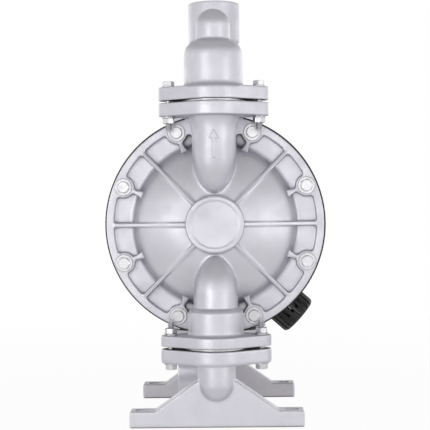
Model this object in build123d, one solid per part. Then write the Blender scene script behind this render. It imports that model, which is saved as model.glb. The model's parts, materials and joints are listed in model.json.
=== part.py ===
from build123d import *
import os
from math import asin, atan2, cos, radians, sin, sqrt, tan

# Air operated double diaphragm pump with bolted aluminium castings and 1 inch ports.
# Millimetres, Z up, the feet stand on Z = 0, the diaphragm rod lies along Y and X is to the right.
# "Front" is the -Y half. The rear half mirrors it, and "depth" is the distance from the middle plane.

# General layout
PUMP_AXIS_Z = 183.0
VALVE_AXIS_Y = 85.0
COVER_R = 100.7
PORT_RISE = 9.3
UPPER_PIPE_RISE = 69.5
OUTLET_RISE = 34.5
LOWER_PIPE_Z = 39.0

# Clearances
FIT = 0.05
RUNNING_FIT = 0.05
FREE_GAP = 0.3
HOLE_EXTRA = 0.3

# Diaphragms
STROKE = 9.0
DIAPHRAGM_RIM_T = 2.2
DIAPHRAGM_T = 3.0
DIAPHRAGM_LIP = 2.3
FOLD_INNER_R = 50.0
FOLD_GAP = 3.0
FOLD_DEPTH_SHARE = 0.27
BEAD_INSET = 12.0
BEAD_WIDTH = 3.6
BEAD_HEIGHT = 1.4

# Air chambers
CHAMBER_FACE = 51.0
CHAMBER_FLANGE_T = 10.0
CHAMBER_LIP = 2.2
CHAMBER_WALL = 5.0
CHAMBER_SIDE_WALL = 6.5
CHAMBER_RIB_T = 4.0
CHAMBER_LAND = 4.5
CHAMBER_CORNER = 13.0

# Fluid covers
COVER_FLANGE_T = 12.0
COVER_WALL = 6.0
CAVITY_LAND = 1.5
RIM_WIDTH = 6.6
POCKET_DEPTH = 7.2
POCKET_CORNER_R = 3.0
DOME_TOP = 90.4
DOME_RADIUS = 139.0
DOME_INSET = 26.2
SHOULDER_WIDTH = 8.5
TOE_WIDTH = 5.0
TOE_RISE = 3.5
HUB_R = 26.3
HUB_RAISE = 4.6
HUB_DISC_R = 22.0
HUB_GROOVE = 0.7
RIB_T = 3.5
RIB_RISE = 2.2
LONG_RIB_STEP = 0.8
SHORT_RIB_LEN = 18.5
RIB_FLARE_W = 6.0
RIB_FLARE_LEN = 6.0
BOSS_R = 9.6
BOLT_INSET = 9.2
COVER_BOLTS = 8
TUBE_R = 20.2
TUBE_BORE_R = 12.7
TUBE_TIP = 28.0
NOSE_ARC_R = 45.0
NOSE_TIP_R = 9.0
BORE_BACK = 18.0
NECK_HALF_WIDTH = 14.0
WINDOW_HALF_WIDTH = 10.0
COLLAR_R = 25.0
COLLAR_TOP = 24.0

# Two-bolt valve flanges
COVER_TOP_FLANGE_T = 12.0
COVER_LOWER_FLANGE_T = 10.0
MANIFOLD_TOP_FLANGE_T = 12.0
MANIFOLD_LOWER_FLANGE_T = 13.3
FLANGE_CENTRE_R = 31.5
FLANGE_EAR_R = 9.0
FLANGE_BOLT_X = 41.0
FLANGE_ROUND = 2.5

# Valve seats and balls
SEAT_GAP = 2.2
SEAT_SEAL_T = 0.4
SEAT_SEAL_MARGIN = 3.5
SEAT_R = 28.8
SEAT_SPIGOT_R = 21.5
SEAT_SPIGOT_LEN = 5.4
SEAT_BORE_R = 11.6
SEAT_MOUTH_R = 14.4
BALL_R = 15.0
BALL_LIFT = 9.0
CAGE_R = 20.4
FIN_T = 3.0
FIN_STOP_R = 8.0
FIN_STOP_T = 5.0

# Manifolds
HOUSING_R = 26.6
HOUSING_STRAIGHT = 28.0
HOUSING_SHOULDER = 14.0
HOUSING_BULGE = 36.0
PIPE_R = 15.7
PIPE_BORE_R = 11.6
ELBOW_R = 17.3
PORT_BOSS_R = 25.0
OUTLET_BOSS_BACK = 5.5
INLET_BOSS_BACK = 10.5
PORT_BOSS_ROUND = 5.0
INLET_FACE_X = 38.0
PORT_THREAD_R = 15.15
PORT_THREAD_LEN = 20.0

# Feet
FOOT_HALF_WIDTH = 79.0
FOOT_LUG_H = 14.5
FOOT_LUG_INNER_X = 56.0
FOOT_CROWN_H = 42.0
FOOT_CROWN_X = 17.0
FOOT_OUTER_Y = 93.0
FOOT_T = 22.5
FOOT_WALL = 5.0
SLOT_X = 67.5
SLOT_R = 4.5
SLOT_LEN = 13.0

# M6 fasteners of the castings
BOLT_R = 3.0
HEX_AF = 10.0
BOLT_HEAD_H = 4.2
NUT_H = 5.0
COVER_WASHER_R = 7.8
FLANGE_WASHER_R = 6.2
WASHER_T = 1.4
COVER_BOLT_TAIL = 2.0
FLANGE_BOLT_TAIL = 6.0

# Rod, plates and plate screws
ROD_R = 8.0
PILOT_GROOVE_R = 6.8
PILOT_GROOVE_LOW = 2.8
PILOT_GROOVE_HIGH = 7.2
INNER_PLATE_T = 6.3
INNER_PLATE_R = 46.0
INNER_PLATE_FLAT_R = 27.6
INNER_PLATE_EDGE_T = 2.1
OUTER_PLATE_T = 6.9
OUTER_PLATE_R = 42.0
OUTER_PLATE_FLAT_R = 21.0
OUTER_PLATE_EDGE_T = 2.3
PLATE_SCREW_R = 5.0
PLATE_SCREW_AF = 17.0
PLATE_SCREW_HEAD = 6.4
PLATE_SCREW_GRIP = 24.0
PLATE_WASHER_R = 10.0
PLATE_WASHER_T = 1.6
BUSH_R = 10.0
BUSH_LEN = 16.0
BLOCK_BORE_EXTRA = 0.6
ROD_SEAL_R = 12.0
ROD_SEAL_T = 4.0

# Centre block
GASKET_T = 0.8
GASKET_MARGIN = 3.5
BARREL_R = 43.0
BLOCK_FLANGE_R = 50.0
BLOCK_FLANGE_T = 6.5
PAD_X = 46.0
PAD_HALF_Y = 25.0
PAD_HALF_Z = 28.0
CHAMBER_SCREWS = 6
CHAMBER_SCREW_CIRCLE_R = 40.0
CHAMBER_SCREW_R = 3.0
CHAMBER_SCREW_HEAD_R = 6.0
CHAMBER_SCREW_LEN = 17.0
AIR_WAY_R = 3.0
AIR_WAY_X = 34.0
AIR_WAY_Y = 10.0

# Air valve chest
CHEST_DEPTH = 41.0
CHEST_CORNER_R = 5.0
SPOOL_X = 66.0
SLEEVE_R = 13.0
SLEEVE_BORE_R = 9.0
SPOOL_STROKE = 5.0
SPOOL_END_GAP = 1.0
LAND_LEN = 6.0
SPOOL_WAIST_R = 6.0
SPOOL_RING_DEPTH = 1.0
SPOOL_RING_W = 1.6
CAP_T = 4.0
CAP_HALF = 19.0
CAP_SCREW_OFFSET = 14.5
CAP_SCREW_R = 2.0
CAP_SCREW_HEAD_R = 4.0
CAP_SCREW_LEN = 14.0
CAP_SEAL_R = 16.0
CAP_SEAL_T = 1.0
CHEST_SCREW_Y = 19.0
CHEST_SCREW_Z = 22.0
CHEST_SCREW_HEAD_R = 5.0
CHEST_SCREW_HEAD_H = 6.0
CHEST_SCREW_GRIP = 8.0
SOCKET_AF = 5.0
SOCKET_DEPTH = 3.0
AIR_BOSS_R = 12.0
AIR_BOSS_H = 5.0
AIR_THREAD_R = 5.72
AIR_THREAD_LEN = 12.0

# Exhaust muffler
EXHAUST_TILT = 41.5
EXHAUST_DROP = 20.6
EXHAUST_BOSS_R = 17.0
MUFFLER_SEAT = 49.0
MUFFLER_LEN = 59.0
MUFFLER_R = 20.0
MUFFLER_WALL = 3.0
MUFFLER_CORNER_R = 4.0
MUFFLER_RIDGES = 20
FLUTE_DEPTH = 1.6
FLUTE_W = 2.6
VENT_W = 1.3
VENT_END_WALL = 9.0
NIPPLE_R = 10.4
NIPPLE_BORE_R = 7.0
NIPPLE_LEN = 14.0

# Radii that follow from the radius of the fluid cover
BOLT_CIRCLE_R = COVER_R - BOLT_INSET
POCKET_OUTER_R = COVER_R - RIM_WIDTH
DOME_FOOT_R = COVER_R - DOME_INSET
DOME_EDGE_R = DOME_FOOT_R - SHOULDER_WIDTH
SHORT_RIB_INNER_R = BOLT_CIRCLE_R - SHORT_RIB_LEN
DIAPHRAGM_R = COVER_R + DIAPHRAGM_LIP
CHAMBER_FLANGE_R = COVER_R + CHAMBER_LIP
BEAD_R = BOLT_CIRCLE_R - BEAD_INSET
CHAMBER_BORE_R = BEAD_R - CHAMBER_LAND
CHAMBER_FLOOR_R = CHAMBER_BORE_R - CHAMBER_CORNER
FOLD_OUTER_R = CHAMBER_BORE_R - FOLD_GAP
FOLD_DEPTH = FOLD_DEPTH_SHARE * (FOLD_OUTER_R - FOLD_INNER_R)

# Depths and heights that follow from the sizes above
COVER_BACK = CHAMBER_FACE + DIAPHRAGM_RIM_T
RIM_DEPTH = COVER_BACK + COVER_FLANGE_T
POCKET_FLOOR = RIM_DEPTH - POCKET_DEPTH
DIAPHRAGM_MID = CHAMBER_FACE + DIAPHRAGM_RIM_T / 2
HUB_FACE = DOME_TOP - DOME_RADIUS + sqrt(DOME_RADIUS**2 - HUB_R**2) + HUB_RAISE
ROD_END = DIAPHRAGM_MID - DIAPHRAGM_T / 2 - INNER_PLATE_T
CHAMBER_FLOOR = ROD_END - STROKE - FREE_GAP
CHAMBER_BACK = CHAMBER_FLOOR - CHAMBER_WALL
CHAMBER_FLANGE_BACK = CHAMBER_FACE - CHAMBER_FLANGE_T
BLOCK_HALF = CHAMBER_BACK - GASKET_T
PORT_FACE = COVER_R + PORT_RISE
TOP_FACE = PUMP_AXIS_Z + PORT_FACE
LOWER_FACE = PUMP_AXIS_Z - PORT_FACE
UPPER_PIPE_Z = TOP_FACE + UPPER_PIPE_RISE
OUTLET_FACE_Z = UPPER_PIPE_Z + OUTLET_RISE
UPPER_SEAT_Z = TOP_FACE + SEAT_GAP / 2
LOWER_SEAT_Z = LOWER_FACE - SEAT_GAP / 2
SEAT_HALF_T = SEAT_GAP / 2 - SEAT_SEAL_T
BOLT_HOLE_R = BOLT_R + HOLE_EXTRA
SPIGOT_DEPTH = SEAT_SPIGOT_LEN + FIT
SPOOL_HALF_LEN = PAD_HALF_Y - SPOOL_STROKE - SPOOL_END_GAP
NOSE_MIDDLE = NOSE_ARC_R - TUBE_R
NOSE_RISE = sqrt((NOSE_ARC_R - NOSE_TIP_R) ** 2 - NOSE_MIDDLE**2)
NOSE_LEN = NOSE_RISE + NOSE_TIP_R
CHEST_FACE = PAD_X + GASKET_T + CHEST_DEPTH

# The ball lies on the cone of the seat, one free gap above it
CONE_SLOPE = radians(30)
CONE_H = (SEAT_MOUTH_R - SEAT_BORE_R) / tan(CONE_SLOPE)
CONTACT_R = (BALL_R + FREE_GAP) * cos(CONE_SLOPE)
BALL_HEIGHT = (
    SEAT_HALF_T - CONE_H + (CONTACT_R - SEAT_BORE_R) / tan(CONE_SLOPE)
    + (BALL_R + FREE_GAP) * sin(CONE_SLOPE)
)
STOP_HEIGHT = BALL_HEIGHT + BALL_LIFT + sqrt((BALL_R + FREE_GAP) ** 2 - FIN_STOP_R**2)
CAGE_TOP = STOP_HEIGHT + FIN_STOP_T

# Frames of the drawing planes
PUMP_AXIS = Axis((0, 0, PUMP_AXIS_Z), (0, 1, 0))
SECTION = Plane(origin=(0, 0, PUMP_AXIS_Z), x_dir=(1, 0, 0), z_dir=(0, 0, -1))
FRONT = Plane(origin=(0, 0, PUMP_AXIS_Z), x_dir=(1, 0, 0), z_dir=(0, -1, 0))
BOLT_ANGLES = [360 / COVER_BOLTS * (n + 0.5) for n in range(COVER_BOLTS)]
RIB_ANGLES = [0, 45, 135, 180, 225, 315]


def outline(*points):
    """Face with straight edges."""
    return make_face(Polyline(*points, close=True))


def turned(face):
    """Body of revolution about the rod axis. The face is drawn as (radius, depth)."""
    return revolve(SECTION * face, PUMP_AXIS, 360)


def disc(radius, low, high):
    """Round plate on the rod axis between two depths, towards the front."""
    return extrude(FRONT.offset(low) * Circle(radius), high - low)


def ring(outer_r, inner_r, low, high):
    """Flat ring on the rod axis between two depths."""
    return disc(outer_r, low, high) - disc(inner_r, low, high)


def column(face, x=0.0, y=-VALVE_AXIS_Y):
    """Body of revolution about an upright axis. The face is drawn as (radius, height)."""
    plane = Plane(origin=(x, y, 0), x_dir=(1, 0, 0), z_dir=(0, -1, 0))
    return revolve(plane * face, Axis((x, y, 0), (0, 0, 1)), 360)


def post(radius, low, high, x=0.0, y=-VALVE_AXIS_Y):
    """Upright cylinder between two heights."""
    return extrude(Plane.XY.offset(low) * Pos(x, y) * Circle(radius), high - low)


def block(low, high):
    """Box between two corners."""
    size = [b - a for a, b in zip(low, high)]
    middle = [(a + b) / 2 for a, b in zip(low, high)]
    return Pos(*middle) * Box(*size)


def around_rod(angle):
    """Turn about the rod axis, from +X towards +Z as the front view shows it."""
    return Pos(0, 0, PUMP_AXIS_Z) * Rot(0, -angle, 0) * Pos(0, 0, -PUMP_AXIS_Z)


def rod_circle(solid, angles):
    """Copies of a solid at angles about the rod axis."""
    return [around_rod(angle) * solid for angle in angles]


def rear(shape):
    """The same piece on the rear half."""
    return mirror(shape, about=Plane.XZ)


def rear_all(solids):
    return [rear(solid) for solid in solids]


def both_ends(shape):
    return [shape, rear(shape)]


def hexagon(across_flats):
    return RegularPolygon(across_flats / 2, 6, major_radius=False)


def dome_depth(radius, wall=0.0):
    """Depth of the dome of the fluid cover, or of its inside at a wall below it."""
    return DOME_TOP - DOME_RADIUS + sqrt((DOME_RADIUS - wall) ** 2 - radius**2)


def domed_face(edge_r, foot, floor, back_depth, wall=0.0):
    """Half section of a spherical dome with a rounded shoulder.

    The shoulder ends at the foot, and a hollow toe runs from there out to the floor. Both are given
    as (radius, depth) and are the same point where there is no toe.
    """
    sphere_r = DOME_RADIUS - wall
    edge = (edge_r, dome_depth(edge_r, wall))
    crown = (0, dome_depth(0, wall))
    slope = asin(edge_r / sphere_r)
    dome = ThreePointArc(crown, (edge_r / 2, dome_depth(edge_r / 2, wall)), edge)
    rim = dome + TangentArc(edge, foot, tangent=(cos(slope), -sin(slope)))
    if foot != floor:
        rim += TangentArc(floor, foot, tangent=(-1, 0))
    side = Polyline(floor, (floor[0], back_depth), (0, back_depth), crown)
    return make_face(rim + side)


# Fluid cover
def valve_flange(low, high, rounded=False):
    """Two-bolt flange on the front valve axis between two heights, its lower edge rounded if asked."""
    ears = [Pos(x, 0) * Circle(FLANGE_EAR_R) for x in (-FLANGE_BOLT_X, FLANGE_BOLT_X)]
    plan = make_hull([circle.edge() for circle in [Circle(FLANGE_CENTRE_R)] + ears])
    plate = extrude(Plane.XY.offset(low) * Pos(0, -VALVE_AXIS_Y) * plan, high - low)
    if rounded:
        plate = fillet(plate.edges().group_by(Axis.Z)[0], FLANGE_ROUND)
    for x in (-FLANGE_BOLT_X, FLANGE_BOLT_X):
        plate -= post(BOLT_HOLE_R, low, high, x)
    return plate


def cover_pockets():
    """Rounded pockets between the rim, the ribs and the bolt bosses."""
    field = Circle(POCKET_OUTER_R) - Circle(SHORT_RIB_INNER_R)
    spoke_len = POCKET_OUTER_R
    for angle in RIB_ANGLES:
        field -= Rot(0, 0, angle) * Pos(spoke_len / 2, 0) * Rectangle(spoke_len, RIB_T)
    for angle in BOLT_ANGLES:
        field -= Rot(0, 0, angle) * Pos(BOLT_CIRCLE_R, 0) * Circle(BOSS_R)
        field -= Rot(0, 0, angle) * Pos(spoke_len / 2, 0) * Rectangle(spoke_len, RIB_T)
    field -= Rectangle(2 * TUBE_R, 2 * POCKET_OUTER_R)
    rounded = [offset(offset(face, -POCKET_CORNER_R), POCKET_CORNER_R) for face in field.faces()]
    floor = FRONT.offset(POCKET_FLOOR)
    return [extrude(floor * face, POCKET_DEPTH) for face in rounded]


def long_rib():
    """Straight-topped rib from the hub to the rim, drawn towards +X."""
    inner = HUB_R - RIB_T
    profile = outline(
        (inner, COVER_BACK),
        (inner, HUB_FACE - LONG_RIB_STEP),
        (POCKET_OUTER_R, RIM_DEPTH),
        (POCKET_OUTER_R, COVER_BACK),
    )
    return extrude(SECTION * profile, RIB_T / 2, both=True)


def short_rib():
    """Rib from a bolt boss into the shoulder of the dome, flared at its inner end, towards +X."""
    inner = SHORT_RIB_INNER_R
    neck = inner + RIB_FLARE_LEN
    plan = outline(
        (inner, -RIB_FLARE_W / 2),
        (neck, -RIB_T / 2),
        (BOLT_CIRCLE_R, -RIB_T / 2),
        (BOLT_CIRCLE_R, RIB_T / 2),
        (neck, RIB_T / 2),
        (inner, RIB_FLARE_W / 2),
    )
    profile = outline(
        (inner, COVER_BACK),
        (inner, RIM_DEPTH + RIB_RISE),
        (BOLT_CIRCLE_R - BOSS_R, RIM_DEPTH),
        (BOLT_CIRCLE_R, RIM_DEPTH),
        (BOLT_CIRCLE_R, COVER_BACK),
    )
    blade = extrude(SECTION * profile, RIB_FLARE_W / 2, both=True)
    return blade & extrude(FRONT.offset(COVER_BACK) * plan, DOME_TOP - COVER_BACK)


def cover_tube(sign):
    """Tube of the cover with a bullet nose, upwards for sign 1 and downwards for sign -1."""
    nose_z = PUMP_AXIS_Z + sign * (TUBE_TIP + NOSE_LEN)
    end_z = PUMP_AXIS_Z + sign * (PORT_FACE - COVER_LOWER_FLANGE_T / 2)

    def nose_point(turn, arc_r, middle_r, beyond):
        return (middle_r + arc_r * cos(turn), nose_z - sign * (beyond + arc_r * sin(turn)))

    joint = atan2(NOSE_RISE, NOSE_MIDDLE)
    side = [nose_point(turn, NOSE_ARC_R, -NOSE_MIDDLE, 0) for turn in (0, joint / 2, joint)]
    between = (joint + radians(90)) / 2
    tip = [nose_point(turn, NOSE_TIP_R, 0, NOSE_RISE) for turn in (joint, between, radians(90))]
    inside = Polyline(tip[2], (0, end_z), (TUBE_R, end_z), side[0])
    return column(make_face(ThreePointArc(*side) + ThreePointArc(*tip) + inside))


def cage(seat_z):
    """Space of the ball above its seat: a round cage with four fins that guide and stop the ball."""
    low = seat_z
    top = seat_z + CAGE_TOP
    space = post(CAGE_R, low, top)
    guide_r = BALL_R + FREE_GAP
    for angle in (45, 135, 225, 315):
        turn = Pos(0, -VALVE_AXIS_Y, 0) * Rot(0, 0, angle)
        guide = block((guide_r, -FIN_T / 2, low + SEAT_GAP), (CAGE_R + FIN_T, FIN_T / 2, top))
        stop = block((FIN_STOP_R, -FIN_T / 2, seat_z + STOP_HEIGHT), (CAGE_R + FIN_T, FIN_T / 2, top))
        space -= turn * guide
        space -= turn * stop
    return space


def fluid_cover():
    """Front fluid cover: dome, ribbed rim, discharge tube, suction tube and ball collar."""
    body = disc(COVER_R, COVER_BACK, RIM_DEPTH) - cover_pockets()
    foot = (DOME_FOOT_R, POCKET_FLOOR + TOE_RISE)
    toe = (DOME_FOOT_R + TOE_WIDTH, POCKET_FLOOR)
    body += turned(domed_face(DOME_EDGE_R, foot, toe, COVER_BACK))
    body += disc(HUB_R, POCKET_FLOOR, HUB_FACE)
    body += rod_circle(long_rib(), RIB_ANGLES)
    body += rod_circle(short_rib(), BOLT_ANGLES)
    body -= disc(HUB_DISC_R, HUB_FACE - HUB_GROOVE, HUB_FACE)

    upper_flange_z = TOP_FACE - COVER_TOP_FLANGE_T
    lower_flange_z = LOWER_FACE + COVER_LOWER_FLANGE_T
    body += cover_tube(1)
    body += cover_tube(-1)
    neck_inner = DOME_EDGE_R
    for low, high in (
        (PUMP_AXIS_Z + neck_inner, upper_flange_z + FIT),
        (lower_flange_z - FIT, PUMP_AXIS_Z - neck_inner),
    ):
        body += block(
            (-NECK_HALF_WIDTH, -VALVE_AXIS_Y, low), (NECK_HALF_WIDTH, -POCKET_FLOOR, high)
        )
    collar_top = lower_flange_z + COLLAR_TOP
    collar = post(COLLAR_R, LOWER_FACE, collar_top)
    body += fillet(collar.edges().group_by(Axis.Z)[-1], COLLAR_R - TUBE_R - FREE_GAP)
    body += valve_flange(upper_flange_z, TOP_FACE)
    body += valve_flange(LOWER_FACE, lower_flange_z)

    cavity_edge_r = DOME_EDGE_R - COVER_WALL
    land = (CHAMBER_BORE_R, COVER_BACK + CAVITY_LAND)
    body -= turned(domed_face(cavity_edge_r, land, land, COVER_BACK, COVER_WALL))
    bead = BEAD_WIDTH / 2 + FIT
    body -= ring(BEAD_R + bead, BEAD_R - bead, COVER_BACK, COVER_BACK + BEAD_HEIGHT)
    window_top = sqrt(cavity_edge_r**2 - WINDOW_HALF_WIDTH**2)
    for sign, end in ((1, TOP_FACE), (-1, LOWER_FACE)):
        start = PUMP_AXIS_Z + sign * (TUBE_TIP + BORE_BACK)
        body -= post(TUBE_BORE_R, min(start, end), max(start, end))
        low, high = sorted((start, PUMP_AXIS_Z + sign * window_top))
        body -= block(
            (-WINDOW_HALF_WIDTH, -VALVE_AXIS_Y, low), (WINDOW_HALF_WIDTH, -POCKET_FLOOR, high)
        )
    body -= post(SEAT_SPIGOT_R + FIT, UPPER_SEAT_Z - SEAT_HALF_T - SPIGOT_DEPTH, TOP_FACE)
    body -= cage(LOWER_SEAT_Z)
    hole = Pos(BOLT_CIRCLE_R, 0, 0) * disc(BOLT_HOLE_R, COVER_BACK, RIM_DEPTH)
    body -= rod_circle(hole, BOLT_ANGLES)
    return body


# Air side
def air_chamber():
    """Front air chamber: the dished half that carries the diaphragm rim and the rod seal."""
    rod_hole = ROD_R + FREE_GAP
    wall_foot_r = CHAMBER_BORE_R + CHAMBER_SIDE_WALL
    well_arc = TangentArc(
        (CHAMBER_FLOOR_R, CHAMBER_FLOOR),
        (CHAMBER_BORE_R, CHAMBER_FACE - CHAMBER_WALL),
        tangent=(1, 0),
    )
    edge = Polyline(
        (CHAMBER_BORE_R, CHAMBER_FACE - CHAMBER_WALL),
        (CHAMBER_BORE_R, CHAMBER_FACE),
        (CHAMBER_FLANGE_R, CHAMBER_FACE),
        (CHAMBER_FLANGE_R, CHAMBER_FLANGE_BACK),
        (wall_foot_r, CHAMBER_FLANGE_BACK),
        (CHAMBER_FLOOR_R, CHAMBER_BACK),
        (rod_hole, CHAMBER_BACK),
        (rod_hole, CHAMBER_FLOOR),
        (CHAMBER_FLOOR_R, CHAMBER_FLOOR),
    )
    body = turned(make_face(well_arc + edge))
    rib = outline(
        (BLOCK_FLANGE_R + RIB_T, CHAMBER_BACK),
        (CHAMBER_FLANGE_R - RIB_T, CHAMBER_FLANGE_BACK - CHAMBER_RIB_T),
        (CHAMBER_FLANGE_R - RIB_T, CHAMBER_FLANGE_BACK + RIB_T),
        (wall_foot_r, CHAMBER_FLANGE_BACK + RIB_T),
        (CHAMBER_FLOOR_R, CHAMBER_BACK + CHAMBER_WALL / 2),
        (BLOCK_FLANGE_R + RIB_T, CHAMBER_BACK + CHAMBER_WALL / 2),
    )
    back_rib = extrude(SECTION * rib, CHAMBER_RIB_T / 2, both=True)
    body += rod_circle(back_rib, [360 / COVER_BOLTS * n for n in range(COVER_BOLTS)])
    hole = Pos(BOLT_CIRCLE_R, 0, 0) * disc(BOLT_HOLE_R, CHAMBER_FLANGE_BACK, CHAMBER_FACE)
    body -= rod_circle(hole, BOLT_ANGLES)
    body -= rod_circle(chamber_screw_space(), chamber_screw_angles())
    body -= air_way(CHAMBER_BACK, CHAMBER_FLOOR)
    return body


def chamber_screw_angles():
    return [360 / CHAMBER_SCREWS * (n + 0.5) for n in range(CHAMBER_SCREWS)]


def chamber_screw(extra=0.0):
    """Countersunk screw in the chamber floor, towards +X, or its space with a clearance."""
    head_h = CHAMBER_SCREW_HEAD_R - CHAMBER_SCREW_R
    shank_r = CHAMBER_SCREW_R + extra
    head_r = CHAMBER_SCREW_HEAD_R + extra
    section = outline(
        (0, CHAMBER_FLOOR - CHAMBER_SCREW_LEN - extra),
        (shank_r, CHAMBER_FLOOR - CHAMBER_SCREW_LEN - extra),
        (shank_r, CHAMBER_FLOOR - head_h),
        (head_r, CHAMBER_FLOOR),
        (0, CHAMBER_FLOOR),
    )
    return Pos(CHAMBER_SCREW_CIRCLE_R, 0, 0) * turned(section)


def chamber_screw_space():
    return chamber_screw(FIT)


def air_way(low, high):
    """Air passage from the valve chest to the air chamber, between two depths."""
    return Pos(-AIR_WAY_X, 0, 0) * disc(AIR_WAY_R, low, high)


def chamber_gasket():
    sheet = ring(BLOCK_FLANGE_R, ROD_SEAL_R + GASKET_MARGIN, BLOCK_HALF, CHAMBER_BACK)
    sheet -= rod_circle(chamber_screw_space(), chamber_screw_angles())
    sheet -= block(
        (-BLOCK_FLANGE_R, -CHAMBER_BACK, PUMP_AXIS_Z - BLOCK_FLANGE_R),
        (-PAD_X, -BLOCK_HALF, PUMP_AXIS_Z + BLOCK_FLANGE_R),
    )
    return sheet - air_way(BLOCK_HALF, CHAMBER_BACK)


def exhaust_frame(distance):
    """Plane square to the exhaust axis at a distance along it."""
    tilt = radians(EXHAUST_TILT)
    along = Vector(cos(tilt), 0, -sin(tilt))
    start = Vector(0, 0, PUMP_AXIS_Z - EXHAUST_DROP)
    return Plane(origin=start + along * distance, x_dir=(0, 1, 0), z_dir=along)


def centre_block():
    """Casting between the air chambers: rod bearings, valve pad and exhaust boss."""
    body = disc(BARREL_R, -BLOCK_HALF, BLOCK_HALF)
    flange = disc(BLOCK_FLANGE_R, BLOCK_HALF - BLOCK_FLANGE_T, BLOCK_HALF)
    body += both_ends(flange)
    body += block(
        (-PAD_X, -PAD_HALF_Y, PUMP_AXIS_Z - PAD_HALF_Z), (0, PAD_HALF_Y, PUMP_AXIS_Z + PAD_HALF_Z)
    )
    body += extrude(exhaust_frame(0) * Circle(EXHAUST_BOSS_R), MUFFLER_SEAT)
    body -= block(
        (-BLOCK_FLANGE_R, -BLOCK_HALF, PUMP_AXIS_Z - BLOCK_FLANGE_R),
        (-PAD_X, BLOCK_HALF, PUMP_AXIS_Z + BLOCK_FLANGE_R),
    )
    seal_inner = BLOCK_HALF - ROD_SEAL_T
    body -= disc(ROD_R + BLOCK_BORE_EXTRA, -BLOCK_HALF, BLOCK_HALF)
    body -= both_ends(disc(BUSH_R + FIT, seal_inner - BUSH_LEN, BLOCK_HALF))
    body -= both_ends(disc(ROD_SEAL_R + FIT, seal_inner, BLOCK_HALF))
    screw_spaces = rod_circle(chamber_screw_space(), chamber_screw_angles())
    body -= screw_spaces
    body -= rear_all(screw_spaces)
    body -= extrude(exhaust_frame(MUFFLER_SEAT) * Circle(NIPPLE_R + FIT), -NIPPLE_LEN - FREE_GAP)
    body -= chest_screw_spaces()
    for y in (-AIR_WAY_Y, AIR_WAY_Y):
        body -= extrude(valve_plane(PAD_X, y) * Circle(AIR_WAY_R), PAD_X - AIR_WAY_X + AIR_WAY_R)
        ends = sorted((-y, -BLOCK_HALF if y > 0 else BLOCK_HALF))
        body -= air_way(*ends)
    return body


# Air valve chest, on the -X side of the centre block
def valve_plane(distance, y=0.0, z=0.0):
    """Plane square to X on the -X side, looking from outside in (normal towards +X)."""
    return Plane(origin=(-distance, y, PUMP_AXIS_Z + z), x_dir=(0, -1, 0), z_dir=(1, 0, 0))


def spool_disc(radius, low, high):
    """Round plate on the spool axis between two depths, towards the front."""
    return Pos(-SPOOL_X, 0, 0) * disc(radius, low, high)


def spool_ring(outer_r, inner_r, low, high):
    """Flat ring on the spool axis between two depths."""
    return spool_disc(outer_r, low, high) - spool_disc(inner_r, low, high)


def chest_corners(y, z):
    return [(a * y, b * z) for a in (-1, 1) for b in (-1, 1)]


def chest_outline():
    return RectangleRounded(2 * PAD_HALF_Y, 2 * PAD_HALF_Z, CHEST_CORNER_R)


def chest_screw(extra=0.0):
    """Shank of a screw that holds the chest, along X through the middle of the chest."""
    length = CHEST_DEPTH + GASKET_T + CHEST_SCREW_GRIP + extra
    return extrude(valve_plane(CHEST_FACE) * Circle(CHAMBER_SCREW_R + extra), length)


def chest_screw_spaces():
    screw = chest_screw(FIT)
    return [Pos(0, y, z) * screw for y, z in chest_corners(CHEST_SCREW_Y, CHEST_SCREW_Z)]


def chest_screws():
    head = extrude(valve_plane(CHEST_FACE) * Circle(CHEST_SCREW_HEAD_R), -CHEST_SCREW_HEAD_H)
    socket = extrude(valve_plane(CHEST_FACE + CHEST_SCREW_HEAD_H) * hexagon(SOCKET_AF), SOCKET_DEPTH)
    screw = chest_screw() + head - socket
    return [Pos(0, y, z) * screw for y, z in chest_corners(CHEST_SCREW_Y, CHEST_SCREW_Z)]


def chest_gasket():
    sheet = extrude(valve_plane(PAD_X + GASKET_T) * chest_outline(), GASKET_T)
    sheet -= chest_screw_spaces()
    for y in (-AIR_WAY_Y, AIR_WAY_Y):
        sheet -= extrude(valve_plane(PAD_X + GASKET_T, y) * Circle(AIR_WAY_R), GASKET_T)
    return sheet


def valve_chest():
    """Air valve body with the bore of the sleeve and the air inlet boss."""
    inlet_face = CHEST_FACE + AIR_BOSS_H
    body = extrude(valve_plane(CHEST_FACE) * chest_outline(), CHEST_DEPTH)
    body += extrude(valve_plane(inlet_face) * Circle(AIR_BOSS_R), AIR_BOSS_H + FREE_GAP)
    body -= spool_disc(SLEEVE_R + FIT, -PAD_HALF_Y, PAD_HALF_Y)
    body -= both_ends(spool_disc(CAP_SEAL_R + FIT, PAD_HALF_Y - CAP_SEAL_T, PAD_HALF_Y))
    body -= extrude(valve_plane(inlet_face) * Circle(AIR_THREAD_R), AIR_THREAD_LEN)
    inlet_depth = inlet_face - SPOOL_X - SLEEVE_BORE_R
    body -= extrude(valve_plane(inlet_face) * Circle(AIR_WAY_R), inlet_depth)
    for y in (-AIR_WAY_Y, AIR_WAY_Y):
        body -= extrude(valve_plane(SPOOL_X, y) * Circle(AIR_WAY_R), SPOOL_X - PAD_X)
    body -= chest_screw_spaces()
    cap_spaces = cap_screws(FIT)
    body -= cap_spaces
    body -= rear_all(cap_spaces)
    return body


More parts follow.
